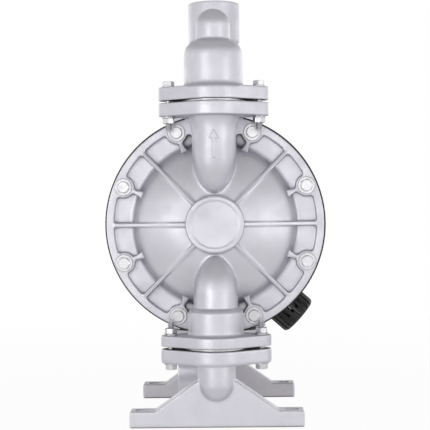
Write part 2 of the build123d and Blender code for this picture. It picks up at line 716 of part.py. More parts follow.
def cap_screws(extra=0.0):
    """Four countersunk screws of the front valve cap, or their spaces with a clearance."""
    face = PAD_HALF_Y + CAP_T
    head_h = CAP_SCREW_HEAD_R - CAP_SCREW_R
    section = outline(
        (0, face - CAP_SCREW_LEN - extra),
        (CAP_SCREW_R + extra, face - CAP_SCREW_LEN - extra),
        (CAP_SCREW_R + extra, face - head_h),
        (CAP_SCREW_HEAD_R + extra, face),
        (0, face),
    )
    screw = Pos(-SPOOL_X, 0, 0) * turned(section)
    return [Pos(x, 0, z) * screw for x, z in chest_corners(CAP_SCREW_OFFSET, CAP_SCREW_OFFSET)]


def valve_cap():
    """Front end cap of the valve chest."""
    plate = RectangleRounded(2 * CAP_HALF, 2 * CAP_HALF, CHEST_CORNER_R)
    cap = Pos(-SPOOL_X, 0, 0) * extrude(FRONT.offset(PAD_HALF_Y) * plate, CAP_T)
    return cap - cap_screws(FIT)


def cap_seal():
    return spool_ring(CAP_SEAL_R, SLEEVE_R + FIT, PAD_HALF_Y - CAP_SEAL_T, PAD_HALF_Y)


def valve_sleeve():
    sleeve = spool_ring(SLEEVE_R, SLEEVE_BORE_R, -PAD_HALF_Y, PAD_HALF_Y)
    sleeve -= extrude(valve_plane(SPOOL_X + SLEEVE_R) * Circle(AIR_WAY_R), SLEEVE_R)
    for y in (-AIR_WAY_Y, AIR_WAY_Y):
        sleeve -= extrude(valve_plane(SPOOL_X, y) * Circle(AIR_WAY_R), SLEEVE_R)
    return sleeve


def spool_land_middles():
    """Depths of the middles of the three lands."""
    end = SPOOL_HALF_LEN - LAND_LEN / 2
    return [-end, 0.0, end]


def valve_spool():
    """Spool with three lands, each with a ring groove. It rests in the middle of its travel."""
    spool = spool_disc(SPOOL_WAIST_R, -SPOOL_HALF_LEN, SPOOL_HALF_LEN)
    land_r = SLEEVE_BORE_R - RUNNING_FIT
    for middle in spool_land_middles():
        low = middle - SPOOL_RING_W / 2
        spool += spool_disc(land_r, middle - LAND_LEN / 2, middle + LAND_LEN / 2)
        spool -= spool_ring(land_r + FIT, land_r - SPOOL_RING_DEPTH, low, low + SPOOL_RING_W)
    return spool


def spool_rings():
    land_r = SLEEVE_BORE_R - RUNNING_FIT
    rings = []
    for middle in spool_land_middles():
        low = middle - SPOOL_RING_W / 2
        rings.append(spool_ring(land_r, land_r - SPOOL_RING_DEPTH, low, low + SPOOL_RING_W))
    return rings


def muffler():
    """Slotted, fluted plastic muffler with its threaded nipple."""
    seat = exhaust_frame(MUFFLER_SEAT)
    shell = extrude(seat * Circle(MUFFLER_R), MUFFLER_LEN)
    shell = fillet(shell.edges(), MUFFLER_CORNER_R)
    hollow = Circle(MUFFLER_R - FLUTE_DEPTH - MUFFLER_WALL)
    hollow_len = MUFFLER_LEN - 2 * MUFFLER_WALL
    shell -= extrude(exhaust_frame(MUFFLER_SEAT + MUFFLER_WALL) * hollow, hollow_len)
    vent_len = MUFFLER_LEN - 2 * VENT_END_WALL
    for n in range(MUFFLER_RIDGES):
        turn = Rot(0, 0, 360 / MUFFLER_RIDGES * n)
        flute = turn * Pos(MUFFLER_R, 0) * Rectangle(2 * FLUTE_DEPTH, FLUTE_W)
        shell -= extrude(exhaust_frame(MUFFLER_SEAT) * flute, MUFFLER_LEN)
        vent = turn * Pos(MUFFLER_R - MUFFLER_WALL, 0) * Rectangle(2 * MUFFLER_WALL, VENT_W)
        shell -= extrude(exhaust_frame(MUFFLER_SEAT + VENT_END_WALL) * vent, vent_len)
    shell += extrude(seat * Circle(NIPPLE_R), -NIPPLE_LEN)
    bore = exhaust_frame(MUFFLER_SEAT - NIPPLE_LEN) * Circle(NIPPLE_BORE_R)
    return shell - extrude(bore, NIPPLE_LEN + MUFFLER_WALL)


# Diaphragms, rod and plates
def diaphragm():
    """Front diaphragm: clamped rim with a bead, a fold and a thick middle."""
    low = DIAPHRAGM_MID - DIAPHRAGM_T / 2
    high = DIAPHRAGM_MID + DIAPHRAGM_T / 2
    fold_r = (FOLD_INNER_R + FOLD_OUTER_R) / 2
    upper_fold = ThreePointArc(
        (FOLD_INNER_R, high), (fold_r, high - FOLD_DEPTH), (FOLD_OUTER_R, COVER_BACK)
    )
    lower_fold = ThreePointArc(
        (FOLD_OUTER_R, CHAMBER_FACE), (fold_r, low - FOLD_DEPTH), (FOLD_INNER_R, low)
    )
    rim = Polyline(
        (FOLD_OUTER_R, COVER_BACK),
        (DIAPHRAGM_R, COVER_BACK),
        (DIAPHRAGM_R, CHAMBER_FACE),
        (FOLD_OUTER_R, CHAMBER_FACE),
    )
    hole = PLATE_SCREW_R + FIT
    middle = Polyline((FOLD_INNER_R, low), (hole, low), (hole, high), (FOLD_INNER_R, high))
    body = turned(make_face(upper_fold + rim + lower_fold + middle))
    bead = BEAD_WIDTH / 2
    body += ring(BEAD_R + bead, BEAD_R - bead, COVER_BACK, COVER_BACK + BEAD_HEIGHT)
    bolt_hole = Pos(BOLT_CIRCLE_R, 0, 0) * disc(BOLT_HOLE_R, CHAMBER_FACE, COVER_BACK)
    return body - rod_circle(bolt_hole, BOLT_ANGLES)


def inner_plate():
    """Plate on the air side of the front diaphragm."""
    high = DIAPHRAGM_MID - DIAPHRAGM_T / 2
    hole = PLATE_SCREW_R + FIT
    return turned(outline(
        (hole, ROD_END),
        (INNER_PLATE_FLAT_R, ROD_END),
        (INNER_PLATE_R, high - INNER_PLATE_EDGE_T),
        (INNER_PLATE_R, high),
        (hole, high),
    ))


def outer_plate():
    """Plate on the fluid side of the front diaphragm."""
    low = DIAPHRAGM_MID + DIAPHRAGM_T / 2
    hole = PLATE_SCREW_R + FIT
    return turned(outline(
        (hole, low),
        (OUTER_PLATE_R, low),
        (OUTER_PLATE_R, low + OUTER_PLATE_EDGE_T),
        (OUTER_PLATE_FLAT_R, low + OUTER_PLATE_T),
        (hole, low + OUTER_PLATE_T),
    ))


def plate_washer():
    low = DIAPHRAGM_MID + DIAPHRAGM_T / 2 + OUTER_PLATE_T
    return ring(PLATE_WASHER_R, PLATE_SCREW_R + FIT, low, low + PLATE_WASHER_T)


def plate_screw():
    """Screw that clamps the front plates and the diaphragm to the rod."""
    seat = DIAPHRAGM_MID + DIAPHRAGM_T / 2 + OUTER_PLATE_T + PLATE_WASHER_T
    head = extrude(FRONT.offset(seat) * hexagon(PLATE_SCREW_AF), PLATE_SCREW_HEAD)
    return head + disc(PLATE_SCREW_R, ROD_END - PLATE_SCREW_GRIP, seat)


def diaphragm_rod():
    """Rod with tapped ends and two pilot grooves."""
    rod = disc(ROD_R, -ROD_END, ROD_END)
    rod -= both_ends(disc(PLATE_SCREW_R + FIT, ROD_END - PLATE_SCREW_GRIP - FREE_GAP, ROD_END))
    return rod - both_ends(ring(ROD_R + FIT, PILOT_GROOVE_R, PILOT_GROOVE_LOW, PILOT_GROOVE_HIGH))


def rod_bush():
    high = BLOCK_HALF - ROD_SEAL_T
    low = high - BUSH_LEN
    return ring(BUSH_R, ROD_R + RUNNING_FIT, low, high)


def rod_seal():
    return ring(ROD_SEAL_R, ROD_R + RUNNING_FIT, BLOCK_HALF - ROD_SEAL_T, BLOCK_HALF)


# Valves
def valve_seat(seat_z):
    """Front valve seat about the middle height of its gap."""
    return Pos(0, 0, seat_z) * column(outline(
        (SEAT_BORE_R, -SEAT_HALF_T - SEAT_SPIGOT_LEN),
        (SEAT_SPIGOT_R, -SEAT_HALF_T - SEAT_SPIGOT_LEN),
        (SEAT_SPIGOT_R, -SEAT_HALF_T),
        (SEAT_R, -SEAT_HALF_T),
        (SEAT_R, SEAT_HALF_T),
        (SEAT_MOUTH_R, SEAT_HALF_T),
        (SEAT_BORE_R, SEAT_HALF_T - CONE_H),
    ))


def seat_seals(seat_z):
    """Flat seals above and below one front seat."""
    seals = []
    inner = SEAT_SPIGOT_R + SEAT_SEAL_MARGIN
    outer = SEAT_R - SEAT_SEAL_T
    for low in (seat_z - SEAT_GAP / 2, seat_z + SEAT_HALF_T):
        high = low + SEAT_SEAL_T
        seals.append(post(outer, low, high) - post(inner, low, high))
    return seals


def valve_ball(seat_z):
    return Pos(0, -VALVE_AXIS_Y, seat_z + BALL_HEIGHT) * Sphere(BALL_R)


# Manifolds
def pipe_run(height, radius):
    """Level pipe along Y between the valve axes, with round elbow corners."""
    along = Plane(origin=(0, VALVE_AXIS_Y, height), x_dir=(1, 0, 0), z_dir=(0, -1, 0))
    return extrude(along * Circle(radius), 2 * VALVE_AXIS_Y)


def discharge_manifold():
    """Ball housings, risers, cross pipe and the upright outlet boss."""
    flange_low = UPPER_SEAT_Z + SEAT_GAP / 2
    flange_top = flange_low + MANIFOLD_TOP_FLANGE_T
    straight_top = flange_top + HOUSING_STRAIGHT
    crown = straight_top + HOUSING_SHOULDER
    bulge = radians(HOUSING_BULGE)
    shoulder = ThreePointArc(
        (HOUSING_R, straight_top),
        (PIPE_R + (HOUSING_R - PIPE_R) * cos(bulge), straight_top + HOUSING_SHOULDER * sin(bulge)),
        (PIPE_R, crown),
    )
    wall = Polyline(
        (PIPE_R, crown), (0, crown), (0, flange_low), (HOUSING_R, flange_low), (HOUSING_R, straight_top)
    )
    leg = valve_flange(flange_low, flange_top) + column(make_face(shoulder + wall))
    leg += post(PIPE_R, straight_top, UPPER_PIPE_Z)
    leg += Pos(0, -VALVE_AXIS_Y, UPPER_PIPE_Z) * Sphere(PIPE_R)
    body = leg + rear(leg) + pipe_run(UPPER_PIPE_Z, PIPE_R)
    boss = post(PORT_BOSS_R, UPPER_PIPE_Z - OUTLET_BOSS_BACK, OUTLET_FACE_Z, 0, 0)
    body += fillet(boss.edges().group_by(Axis.Z)[0], PORT_BOSS_ROUND)

    cage_top = UPPER_SEAT_Z + CAGE_TOP
    throat = column(outline(
        (0, cage_top - FIT),
        (CAGE_R, cage_top - FIT),
        (PIPE_BORE_R, crown - FIN_STOP_T),
        (PIPE_BORE_R, UPPER_PIPE_Z),
        (0, UPPER_PIPE_Z),
    ))
    corner = Pos(0, -VALVE_AXIS_Y, UPPER_PIPE_Z) * Sphere(PIPE_BORE_R)
    for space in (cage(UPPER_SEAT_Z), throat, corner):
        body -= both_ends(space)
    body -= pipe_run(UPPER_PIPE_Z, PIPE_BORE_R)
    body -= post(PIPE_BORE_R, UPPER_PIPE_Z, OUTLET_FACE_Z, 0, 0)
    body -= post(PORT_THREAD_R, OUTLET_FACE_Z - PORT_THREAD_LEN, OUTLET_FACE_Z, 0, 0)
    return body


def foot():
    """Front foot with its hollow underside, before its slots."""
    plane = Plane(origin=(0, -(FOOT_OUTER_Y - FOOT_T), 0), x_dir=(1, 0, 0), z_dir=(0, -1, 0))
    profile = outline(
        (-FOOT_HALF_WIDTH, 0),
        (FOOT_HALF_WIDTH, 0),
        (FOOT_HALF_WIDTH, FOOT_LUG_H),
        (FOOT_LUG_INNER_X, FOOT_LUG_H),
        (FOOT_CROWN_X, FOOT_CROWN_H),
        (-FOOT_CROWN_X, FOOT_CROWN_H),
        (-FOOT_LUG_INNER_X, FOOT_LUG_H),
        (-FOOT_HALF_WIDTH, FOOT_LUG_H),
    )
    body = extrude(plane * profile, FOOT_T)
    inner_x = FOOT_LUG_INNER_X - FOOT_WALL
    crown_x = FOOT_CROWN_X - FOOT_WALL
    crown_h = FOOT_CROWN_H - 2 * FOOT_WALL
    hollow = outline(
        (-inner_x, 0),
        (inner_x, 0),
        (inner_x, FOOT_LUG_H - FOOT_WALL),
        (crown_x, crown_h),
        (-crown_x, crown_h),
        (-inner_x, FOOT_LUG_H - FOOT_WALL),
    )
    return body - extrude(plane.offset(FOOT_WALL) * hollow, FOOT_T - 2 * FOOT_WALL)


def suction_manifold():
    """Elbows, cross pipe, inlet boss on the left and the two feet, in one casting."""
    flange_top = LOWER_SEAT_Z - SEAT_GAP / 2
    flange_low = flange_top - MANIFOLD_LOWER_FLANGE_T
    leg = foot() + valve_flange(flange_low, flange_top, rounded=True)
    leg += post(ELBOW_R, LOWER_PIPE_Z, flange_top)
    leg += Pos(0, -VALVE_AXIS_Y, LOWER_PIPE_Z) * Sphere(ELBOW_R)
    body = leg + rear(leg) + pipe_run(LOWER_PIPE_Z, PIPE_R)
    face_plane = Plane(origin=(-INLET_FACE_X, 0, LOWER_PIPE_Z), x_dir=(0, -1, 0), z_dir=(1, 0, 0))
    boss = extrude(face_plane * Circle(PORT_BOSS_R), INLET_FACE_X + INLET_BOSS_BACK)
    body += fillet(boss.edges().group_by(Axis.X)[-1], PORT_BOSS_ROUND)

    bore = post(PIPE_BORE_R, LOWER_PIPE_Z, flange_top)
    spigot = post(SEAT_SPIGOT_R + FIT, LOWER_SEAT_Z - SEAT_HALF_T - SPIGOT_DEPTH, flange_top)
    corner = Pos(0, -VALVE_AXIS_Y, LOWER_PIPE_Z) * Sphere(PIPE_BORE_R)
    for space in (bore, spigot, corner):
        body -= both_ends(space)
    body -= pipe_run(LOWER_PIPE_Z, PIPE_BORE_R)
    body -= extrude(face_plane * Circle(PIPE_BORE_R), INLET_FACE_X)
    body -= extrude(face_plane * Circle(PORT_THREAD_R), PORT_THREAD_LEN)
    slot = SlotOverall(SLOT_LEN, 2 * SLOT_R)
    for x in (-SLOT_X, SLOT_X):
        for y in (FOOT_T / 2 - FOOT_OUTER_Y, FOOT_OUTER_Y - FOOT_T / 2):
            body -= extrude(Pos(x, y) * slot, FOOT_LUG_H)
    return body


# Fasteners
def hex_bolt(length):
    """Bolt standing on Z = 0 with its head above and its shank below."""
    head = extrude(hexagon(HEX_AF), BOLT_HEAD_H)
    return head + Pos(0, 0, -length / 2) * Cylinder(BOLT_R, length)


def washer(outer_r, low):
    """Washer whose lower face is at a height."""
    sheet = Cylinder(outer_r, WASHER_T) - Cylinder(BOLT_R + FIT, WASHER_T)
    return Pos(0, 0, low + WASHER_T / 2) * sheet


def nut(low):
    """Nut whose lower face is at a height."""
    bore = Pos(0, 0, NUT_H / 2) * Cylinder(BOLT_R + FIT, NUT_H)
    return Pos(0, 0, low) * (extrude(hexagon(HEX_AF), NUT_H) - bore)


def cover_set():
    """Bolts, washers and nuts of the front cover, with heads on the cover bosses."""
    place = FRONT.offset(RIM_DEPTH).location * Pos(BOLT_CIRCLE_R, 0, 0)
    joint_t = RIM_DEPTH - CHAMBER_FLANGE_BACK
    nut_face = -joint_t - WASHER_T - NUT_H
    bolt = place * Pos(0, 0, WASHER_T) * hex_bolt(WASHER_T - nut_face + COVER_BOLT_TAIL)
    washers = [place * washer(COVER_WASHER_R, low) for low in (0, -joint_t - WASHER_T)]
    return (
        rod_circle(bolt, BOLT_ANGLES),
        [copy for one in washers for copy in rod_circle(one, BOLT_ANGLES)],
        rod_circle(place * nut(nut_face), BOLT_ANGLES),
    )


def flange_set(head_face, nut_face):
    """Bolts, washers and nuts of one two-bolt joint, from the face under the heads to the nut face."""
    up = 1 if head_face > nut_face else -1
    joint_t = abs(head_face - nut_face)
    stack = joint_t + 2 * WASHER_T + NUT_H + FLANGE_BOLT_TAIL
    bolts, washers, nuts = [], [], []
    for y in (-VALVE_AXIS_Y, VALVE_AXIS_Y):
        for x in (-FLANGE_BOLT_X, FLANGE_BOLT_X):
            place = Pos(x, y, head_face) * Rot(0 if up > 0 else 180, 0, 0)
            bolts.append(place * Pos(0, 0, WASHER_T) * hex_bolt(stack))
            washers.append(place * washer(FLANGE_WASHER_R, 0))
            washers.append(place * washer(FLANGE_WASHER_R, -joint_t - WASHER_T))
            nuts.append(place * nut(-joint_t - WASHER_T - NUT_H))
    return bolts, washers, nuts


def save(name, shape):
    """Write one node. A list becomes a group of separate solids."""
    solids = shape if isinstance(shape, list) else [shape]
    whole = [solid for item in solids for solid in item.solids()]
    node = whole[0] if len(whole) == 1 else Compound(children=whole)
    export_step(node, "parts/" + name + ".step")
    print(name, len(whole))


os.makedirs("parts", exist_ok=True)

# Front pieces and their mirror images at the rear
upper_seals = seat_seals(UPPER_SEAT_Z)
lower_seals = seat_seals(LOWER_SEAT_Z)
cover_bolts, cover_washers, cover_nuts = cover_set()
PAIRS = {
    "fluid_cover": fluid_cover(),
    "air_chamber": air_chamber(),
    "chamber_gasket": chamber_gasket(),
    "chamber_screws": rod_circle(chamber_screw(), chamber_screw_angles()),
    "diaphragm": diaphragm(),
    "inner_plate": inner_plate(),
    "outer_plate": outer_plate(),
    "plate_washer": plate_washer(),
    "plate_screw": plate_screw(),
    "rod_bush": rod_bush(),
    "rod_seal": rod_seal(),
    "discharge_seat": valve_seat(UPPER_SEAT_Z),
    "suction_seat": valve_seat(LOWER_SEAT_Z),
    "discharge_ball": valve_ball(UPPER_SEAT_Z),
    "suction_ball": valve_ball(LOWER_SEAT_Z),
    "valve_cap": valve_cap(),
    "cover_bolts": cover_bolts,
    "cover_washers": cover_washers,
    "cover_nuts": cover_nuts,
}
for name, shape in PAIRS.items():
    save("front_" + name, shape)
    save("rear_" + name, rear_all(shape) if isinstance(shape, list) else rear(shape))

# Single pieces
save("centre_block", centre_block())
save("diaphragm_rod", diaphragm_rod())
save("discharge_manifold", discharge_manifold())
save("suction_manifold", suction_manifold())
save("valve_chest", valve_chest())
save("valve_chest_gasket", chest_gasket())
save("valve_chest_screws", chest_screws())
save("valve_cap_screws", cap_screws() + rear_all(cap_screws()))
save("valve_cap_seals", [cap_seal(), rear(cap_seal())])
save("valve_sleeve", valve_sleeve())
save("valve_spool", valve_spool())
save("spool_rings", spool_rings())
save("exhaust_muffler", muffler())
save("discharge_seat_seals", upper_seals + rear_all(upper_seals))
save("suction_seat_seals", lower_seals + rear_all(lower_seals))

upper_joint = flange_set(
    TOP_FACE + SEAT_GAP + MANIFOLD_TOP_FLANGE_T, TOP_FACE - COVER_TOP_FLANGE_T
)
lower_joint = flange_set(
    LOWER_FACE - SEAT_GAP - MANIFOLD_LOWER_FLANGE_T, LOWER_FACE + COVER_LOWER_FLANGE_T
)
for side, joint in (("discharge", upper_joint), ("suction", lower_joint)):
    for kind, solids in zip(("bolts", "washers", "nuts"), joint):
        save(side + "_flange_" + kind, solids)
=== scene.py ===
# %% [markdown]
# An air operated diaphragm pump stands on a pale floor, seen square onto its front fluid cover.
# The engineering model is loaded first and stays as it is: it says where every part sits and which
# parts move together. This lesson dresses that model, casting by casting, bolt by bolt.

import bmesh
import bpy
import json
import numpy as np
from math import cos, hypot, pi, radians, sin, tau
from mathutils import Matrix, Vector


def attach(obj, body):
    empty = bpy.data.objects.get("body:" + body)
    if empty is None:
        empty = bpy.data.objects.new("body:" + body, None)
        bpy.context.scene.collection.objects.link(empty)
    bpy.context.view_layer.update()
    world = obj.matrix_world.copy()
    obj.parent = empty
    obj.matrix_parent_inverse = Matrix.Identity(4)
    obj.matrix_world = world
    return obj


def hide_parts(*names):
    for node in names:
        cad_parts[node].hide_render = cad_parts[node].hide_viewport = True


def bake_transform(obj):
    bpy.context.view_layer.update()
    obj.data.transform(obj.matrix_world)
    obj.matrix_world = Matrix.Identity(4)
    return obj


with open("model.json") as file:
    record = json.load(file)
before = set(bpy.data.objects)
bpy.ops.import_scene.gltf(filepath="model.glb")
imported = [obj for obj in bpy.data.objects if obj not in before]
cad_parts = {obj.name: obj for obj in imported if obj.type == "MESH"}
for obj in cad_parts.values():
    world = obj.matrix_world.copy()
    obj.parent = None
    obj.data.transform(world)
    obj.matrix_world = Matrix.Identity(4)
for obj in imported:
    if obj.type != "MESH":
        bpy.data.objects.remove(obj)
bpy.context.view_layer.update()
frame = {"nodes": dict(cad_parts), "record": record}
nodes = frame["nodes"]
MM = 0.001

# %% [markdown]
# The photograph was taken from about 1.1 m, level with the middle of the pump, with a long lens.
# A camera can be aimed with a tracking constraint, but a measured view is easier to keep with
# three plain turns: a turn to the left, a small dip, and a small roll, because the pump leans.

# %% Camera
FOCAL_PIXELS = 1142
FRAME_PIXELS = 430
SENSOR = 36
CAMERA_PLACE = Vector((0.0137, -1.120, 0.197))
TURN_LEFT = radians(0.75)
DIP = radians(0.30)
ROLL = radians(-0.65)

lens = bpy.data.cameras.new("front_view")
lens.sensor_width = SENSOR
lens.lens = SENSOR * FOCAL_PIXELS / FRAME_PIXELS
camera = bpy.data.objects.new("front_view", lens)
aim = Matrix.Rotation(TURN_LEFT, 4, "Z") @ Matrix.Rotation(pi / 2 - DIP, 4, "X")
camera.matrix_world = Matrix.Translation(CAMERA_PLACE) @ aim @ Matrix.Rotation(ROLL, 4, "Z")
bpy.context.scene.collection.objects.link(camera)
bpy.context.scene.camera = camera
bpy.context.scene.view_settings.view_transform = "Standard"
print("lens", round(lens.lens, 1), "mm")

# %% [markdown]
# Shader nodes are sums and mixtures. Drawn by hand they turn into a web, so this lesson writes
# them as ordinary Python: a Wire is one socket, and a sum of Wires adds the Math nodes.

# %% Shader sums
class Wire:
    """One output socket of a material, which can stand in a sum."""

    def __init__(self, recipe, socket):
        self.recipe = recipe
        self.socket = socket

    def sum(self, operation, first, second):
        return self.recipe.node("ShaderNodeMath", {"operation": operation}, {0: first, 1: second})

    def __add__(self, other):
        return self.sum("ADD", self, other)

    def __sub__(self, other):
        return self.sum("SUBTRACT", self, other)

    def __rsub__(self, other):
        return self.sum("SUBTRACT", other, self)

    def __mul__(self, other):
        return self.sum("MULTIPLY", self, other)

    def __truediv__(self, other):
        return self.sum("DIVIDE", self, other)

    __radd__ = __add__
    __rmul__ = __mul__


# %% [markdown]
# A Recipe collects the nodes of one finish. Its helpers are the few things that every finish
# needs: noise for mottling, a ramp to pick a band of it, corners where shade is painted and edges
# that get rubbed.

# %% Recipe for a material
class Recipe:
    """The node tree of one finish, or of the sky."""

    def __init__(self, name, shelf=bpy.data.materials):
        self.made = shelf.new(name)
        self.made.use_nodes = True
        self.tree = self.made.node_tree
        self.tree.nodes.clear()

    def node(self, kind, settings=None, sockets=None, out=0):
        made = self.tree.nodes.new(kind)
        for key, value in (settings or {}).items():
            if key == "stops":
                self.set_stops(made.color_ramp.elements, value)
            else:
                setattr(made, key, value)
        for key, value in (sockets or {}).items():
            if isinstance(value, Wire):
                self.tree.links.new(value.socket, made.inputs[key])
            else:
                made.inputs[key].default_value = value
        return Wire(self, made.outputs[out]) if len(made.outputs) else None

    def set_stops(self, elements, stops):
        while len(elements) < len(stops):
            elements.new(1.0)
        for element, (place, level) in zip(elements, stops):
            element.position = place
            element.color = (level, level, level, 1)

    def place(self):
        return self.node("ShaderNodeTexCoord", out="Object")

    def noise(self, scale, detail=3.0, roughness=0.55):
        values = {"Vector": self.place(), "Scale": scale, "Detail": detail, "Roughness": roughness}
        return self.node("ShaderNodeTexNoise", None, values)

    def ramp(self, value, *stops):
        return self.node("ShaderNodeValToRGB", {"stops": stops}, {"Fac": value})

    def shade(self, factor, first, second):
        """A colour between two others."""
        settings = {"data_type": "RGBA"}
        return self.node("ShaderNodeMix", settings, {0: factor, 6: first, 7: second}, out=2)

    def hollows(self, reach):
        """1 in the open and less in corners and under edges, looking as far as reach in metres."""
        settings = {"samples": 6}
        return self.node("ShaderNodeAmbientOcclusion", settings, {"Distance": reach}, out="AO")

    def edges(self):
        """0.5 on flat faces, more on outer edges, less in inner corners."""
        return self.node("ShaderNodeNewGeometry", out="Pointiness")

    def finish(self, values, bump, height, strength):
        """Closes a surface from its values and a bump of some height in metres."""
        bumps = {"Height": bump, "Distance": height, "Strength": strength}
        normal = self.node("ShaderNodeBump", None, bumps)
        surface = self.node("ShaderNodeBsdfPrincipled", None, {**values, "Normal": normal})
        self.node("ShaderNodeOutputMaterial", None, {"Surface": surface})
        return self.made


def tint(red, green, blue):
    """A colour given as the eye sees it on a screen, 0 to 255."""
    return tuple(((c / 255 + 0.055) / 1.055) ** 2.4 for c in (red, green, blue)) + (1.0,)


# %% [markdown]
# The castings are bead blasted aluminium: pale, a little cool, with a fine even grain. The grain
# could be modelled, but at a tenth of a millimetre it belongs in a bump. The colour is mottled a
# little, corners and creases get a painted grey shade, deep pockets get a painted shade that is
# nearly black, and handled edges are rubbed brighter. The lower manifold gets a painted shade,
# darker and warmer, on its rear half.

# %% Cast aluminium
PALE, DARK, RUBBED = tint(216, 215, 222), tint(203, 202, 210), tint(240, 240, 244)
# Colours of painted shade: grey in corners, nearly black in deep pockets, warm on the rear half.
CORNER_SHADE, SHADOW, REAR_SHADE = tint(84, 85, 90), tint(48, 48, 50), tint(138, 130, 131)
BLASTED_METAL = 0.78
BLASTED_ROUGHNESS = 0.38


def cast_aluminium(name, skin=0.0):
    """Blasted metal. A skin above 0 paints shade on the far side, along +Y, darker and warmer."""
    r = Recipe(name)
    grain = r.noise(1500, 4.0, 0.7)
    blotch = r.ramp(r.noise(45, 3.0), (0.35, 0.0), (0.65, 1.0))
    # Masks of painted shade from ambient occlusion: corners and creases, then deep pockets.
    corner_shade = r.ramp(r.hollows(0.003), (0.34, 1.0), (0.82, 0.0))
    deep = r.ramp(r.hollows(0.012), (0.10, 1.0), (0.42, 0.0))
    rub = r.ramp(r.edges(), (0.515, 0.0), (0.56, 1.0))
    colour = r.shade(blotch * 0.5, PALE, DARK)
    # Painted shade: darker and warmer towards +Y, the rear of the pump, as strong as skin says.
    depth = r.node("ShaderNodeSeparateXYZ", None, {0: r.place()}, out="Y") * 5.0 + 0.5
    colour = r.shade(r.ramp(depth, (0.3, 0.0), (0.75, 1.0)) * skin, colour, REAR_SHADE)
    # Painted shade: corners darkened towards grey, deep pockets towards nearly black.
    colour = r.shade(corner_shade * 0.85, colour, CORNER_SHADE)
    # Painted shade in deep pockets, nearly black.
    colour = r.shade(deep * 0.8, colour, SHADOW)
    colour = r.shade(rub * (0.25 + 0.35 * blotch), colour, RUBBED)
    roughness = BLASTED_ROUGHNESS + 0.10 * blotch + 0.12 * corner_shade - 0.10 * rub
    height = grain + 0.6 * r.noise(420, 2.0)
    values = {"Base Color": colour, "Metallic": BLASTED_METAL, "Roughness": roughness}
    return r.finish(values, height, 0.00012, 0.55)


blasted = cast_aluminium("blasted_cast_aluminium")
# The same finish with painted shade, darker and warmer, on its rear half along +Y.
rear_shaded = cast_aluminium("half_blasted_cast_aluminium", 0.4)

# %% [markdown]
# Turned and milled faces show fine tool marks and more shine. Rings of a wave texture would follow
# one axis only, so a stretched noise stands for the lay of the cutter on seats, plates and rods.

# %% Machined metals
LAY_OF_CUTTER = (900, 900, 5000)


def machined(name, pale, dark, rough):
    r = Recipe(name)
    stretch = {"Vector": r.place(), "Scale": LAY_OF_CUTTER}
    along = r.node("ShaderNodeMapping", None, stretch)
    marks = r.node("ShaderNodeTexNoise", None, {"Vector": along, "Scale": 1.0, "Detail": 2.0})
    cloud = r.ramp(r.noise(120), (0.3, 0.0), (0.7, 1.0))
    # Painted shade in small hollows, darkening the colour; the same mask also roughens them.
    corner_shade = r.ramp(r.hollows(0.002), (0.3, 1.0), (0.9, 0.0))
    colour = r.shade(cloud * 0.5 + corner_shade * 0.4, pale, dark)
    roughness = rough + 0.08 * cloud + 0.2 * corner_shade
    values = {"Base Color": colour, "Metallic": 1.0, "Roughness": roughness}
    return r.finish(values, marks, 0.00004, 0.5)


turned_aluminium = machined("turned_aluminium", tint(224, 225, 228), tint(196, 198, 203), 0.30)
zinc_plate = machined("zinc_plated_steel", tint(206, 206, 208), tint(176, 177, 180), 0.24)
stainless = machined("stainless_steel", tint(205, 206, 208), tint(170, 172, 176), 0.22)
ground_steel = machined("ground_steel", tint(214, 215, 218), tint(186, 188, 192), 0.16)
bronze = machined("bearing_bronze", tint(196, 152, 96), tint(150, 108, 62), 0.34)

# %% [markdown]
# Rubber, gasket sheet, PTFE and the black plastic of the muffler are not metals. Each has its own
# small grain: rubber is slightly cloudy, sheet is fibrous, and the plastic has a fine spark grain.

# %% Rubber, sheet and plastics
def soft_finish(name, pale, dark, rough, grain_scale, grain_depth, sheen=0.0):
    r = Recipe(name)
    grain = r.noise(grain_scale, 3.0, 0.6)
    cloud = r.ramp(r.noise(90), (0.35, 0.0), (0.65, 1.0))
    rub = r.ramp(r.edges(), (0.52, 0.0), (0.60, 1.0))
    colour = r.shade(cloud, dark, pale)
    worn = tuple(min(1.0, c * 1.5 + 0.01) for c in pale[:3]) + (1.0,)
    colour = r.shade(rub * 0.35, colour, worn)
    roughness = rough + 0.10 * cloud - 0.06 * rub
    values = {
        "Base Color": colour, "Roughness": roughness, "Metallic": 0.0, "Sheen Weight": sheen,
    }
    return r.finish(values, grain, grain_depth, 0.6)


rubber = soft_finish("black_rubber", tint(26, 26, 27), tint(16, 16, 17), 0.60, 900, 0.00006, 0.05)
gasket = soft_finish("gasket_sheet", tint(70, 72, 70), tint(48, 50, 49), 0.75, 1600, 0.00008)
ptfe = soft_finish("white_ptfe", tint(236, 236, 232), tint(222, 222, 217), 0.42, 500, 0.00003)
plastic = soft_finish("black_plastic", tint(22, 22, 24), tint(13, 13, 14), 0.24, 1500, 0.00004)

# %% [markdown]
# A casting has no sharp edge: every corner of the mould is rounded so that the metal flows and the
# sand or die lets go. Bevels on a CAD mesh fail where many faces meet, so each casting is remeshed
# into even voxels and relaxed a little, which rounds outer edges and fills inner corners alike.

# %% Tools for castings
WELD = 1e-6
VALVE_AXIS_Y = 85.0
ROD_Z = 183.0
FILLET_PASSES = 45


def plain_mesh(node):
    """A closed copy of the mesh of a CAD node, with its corners welded."""
    work = bmesh.new()
    work.from_mesh(nodes[node].data)
    bmesh.ops.remove_doubles(work, verts=work.verts, dist=WELD)
    bare = bpy.data.meshes.new(node + "_bare")
    work.to_mesh(bare)
    work.free()
    return bare


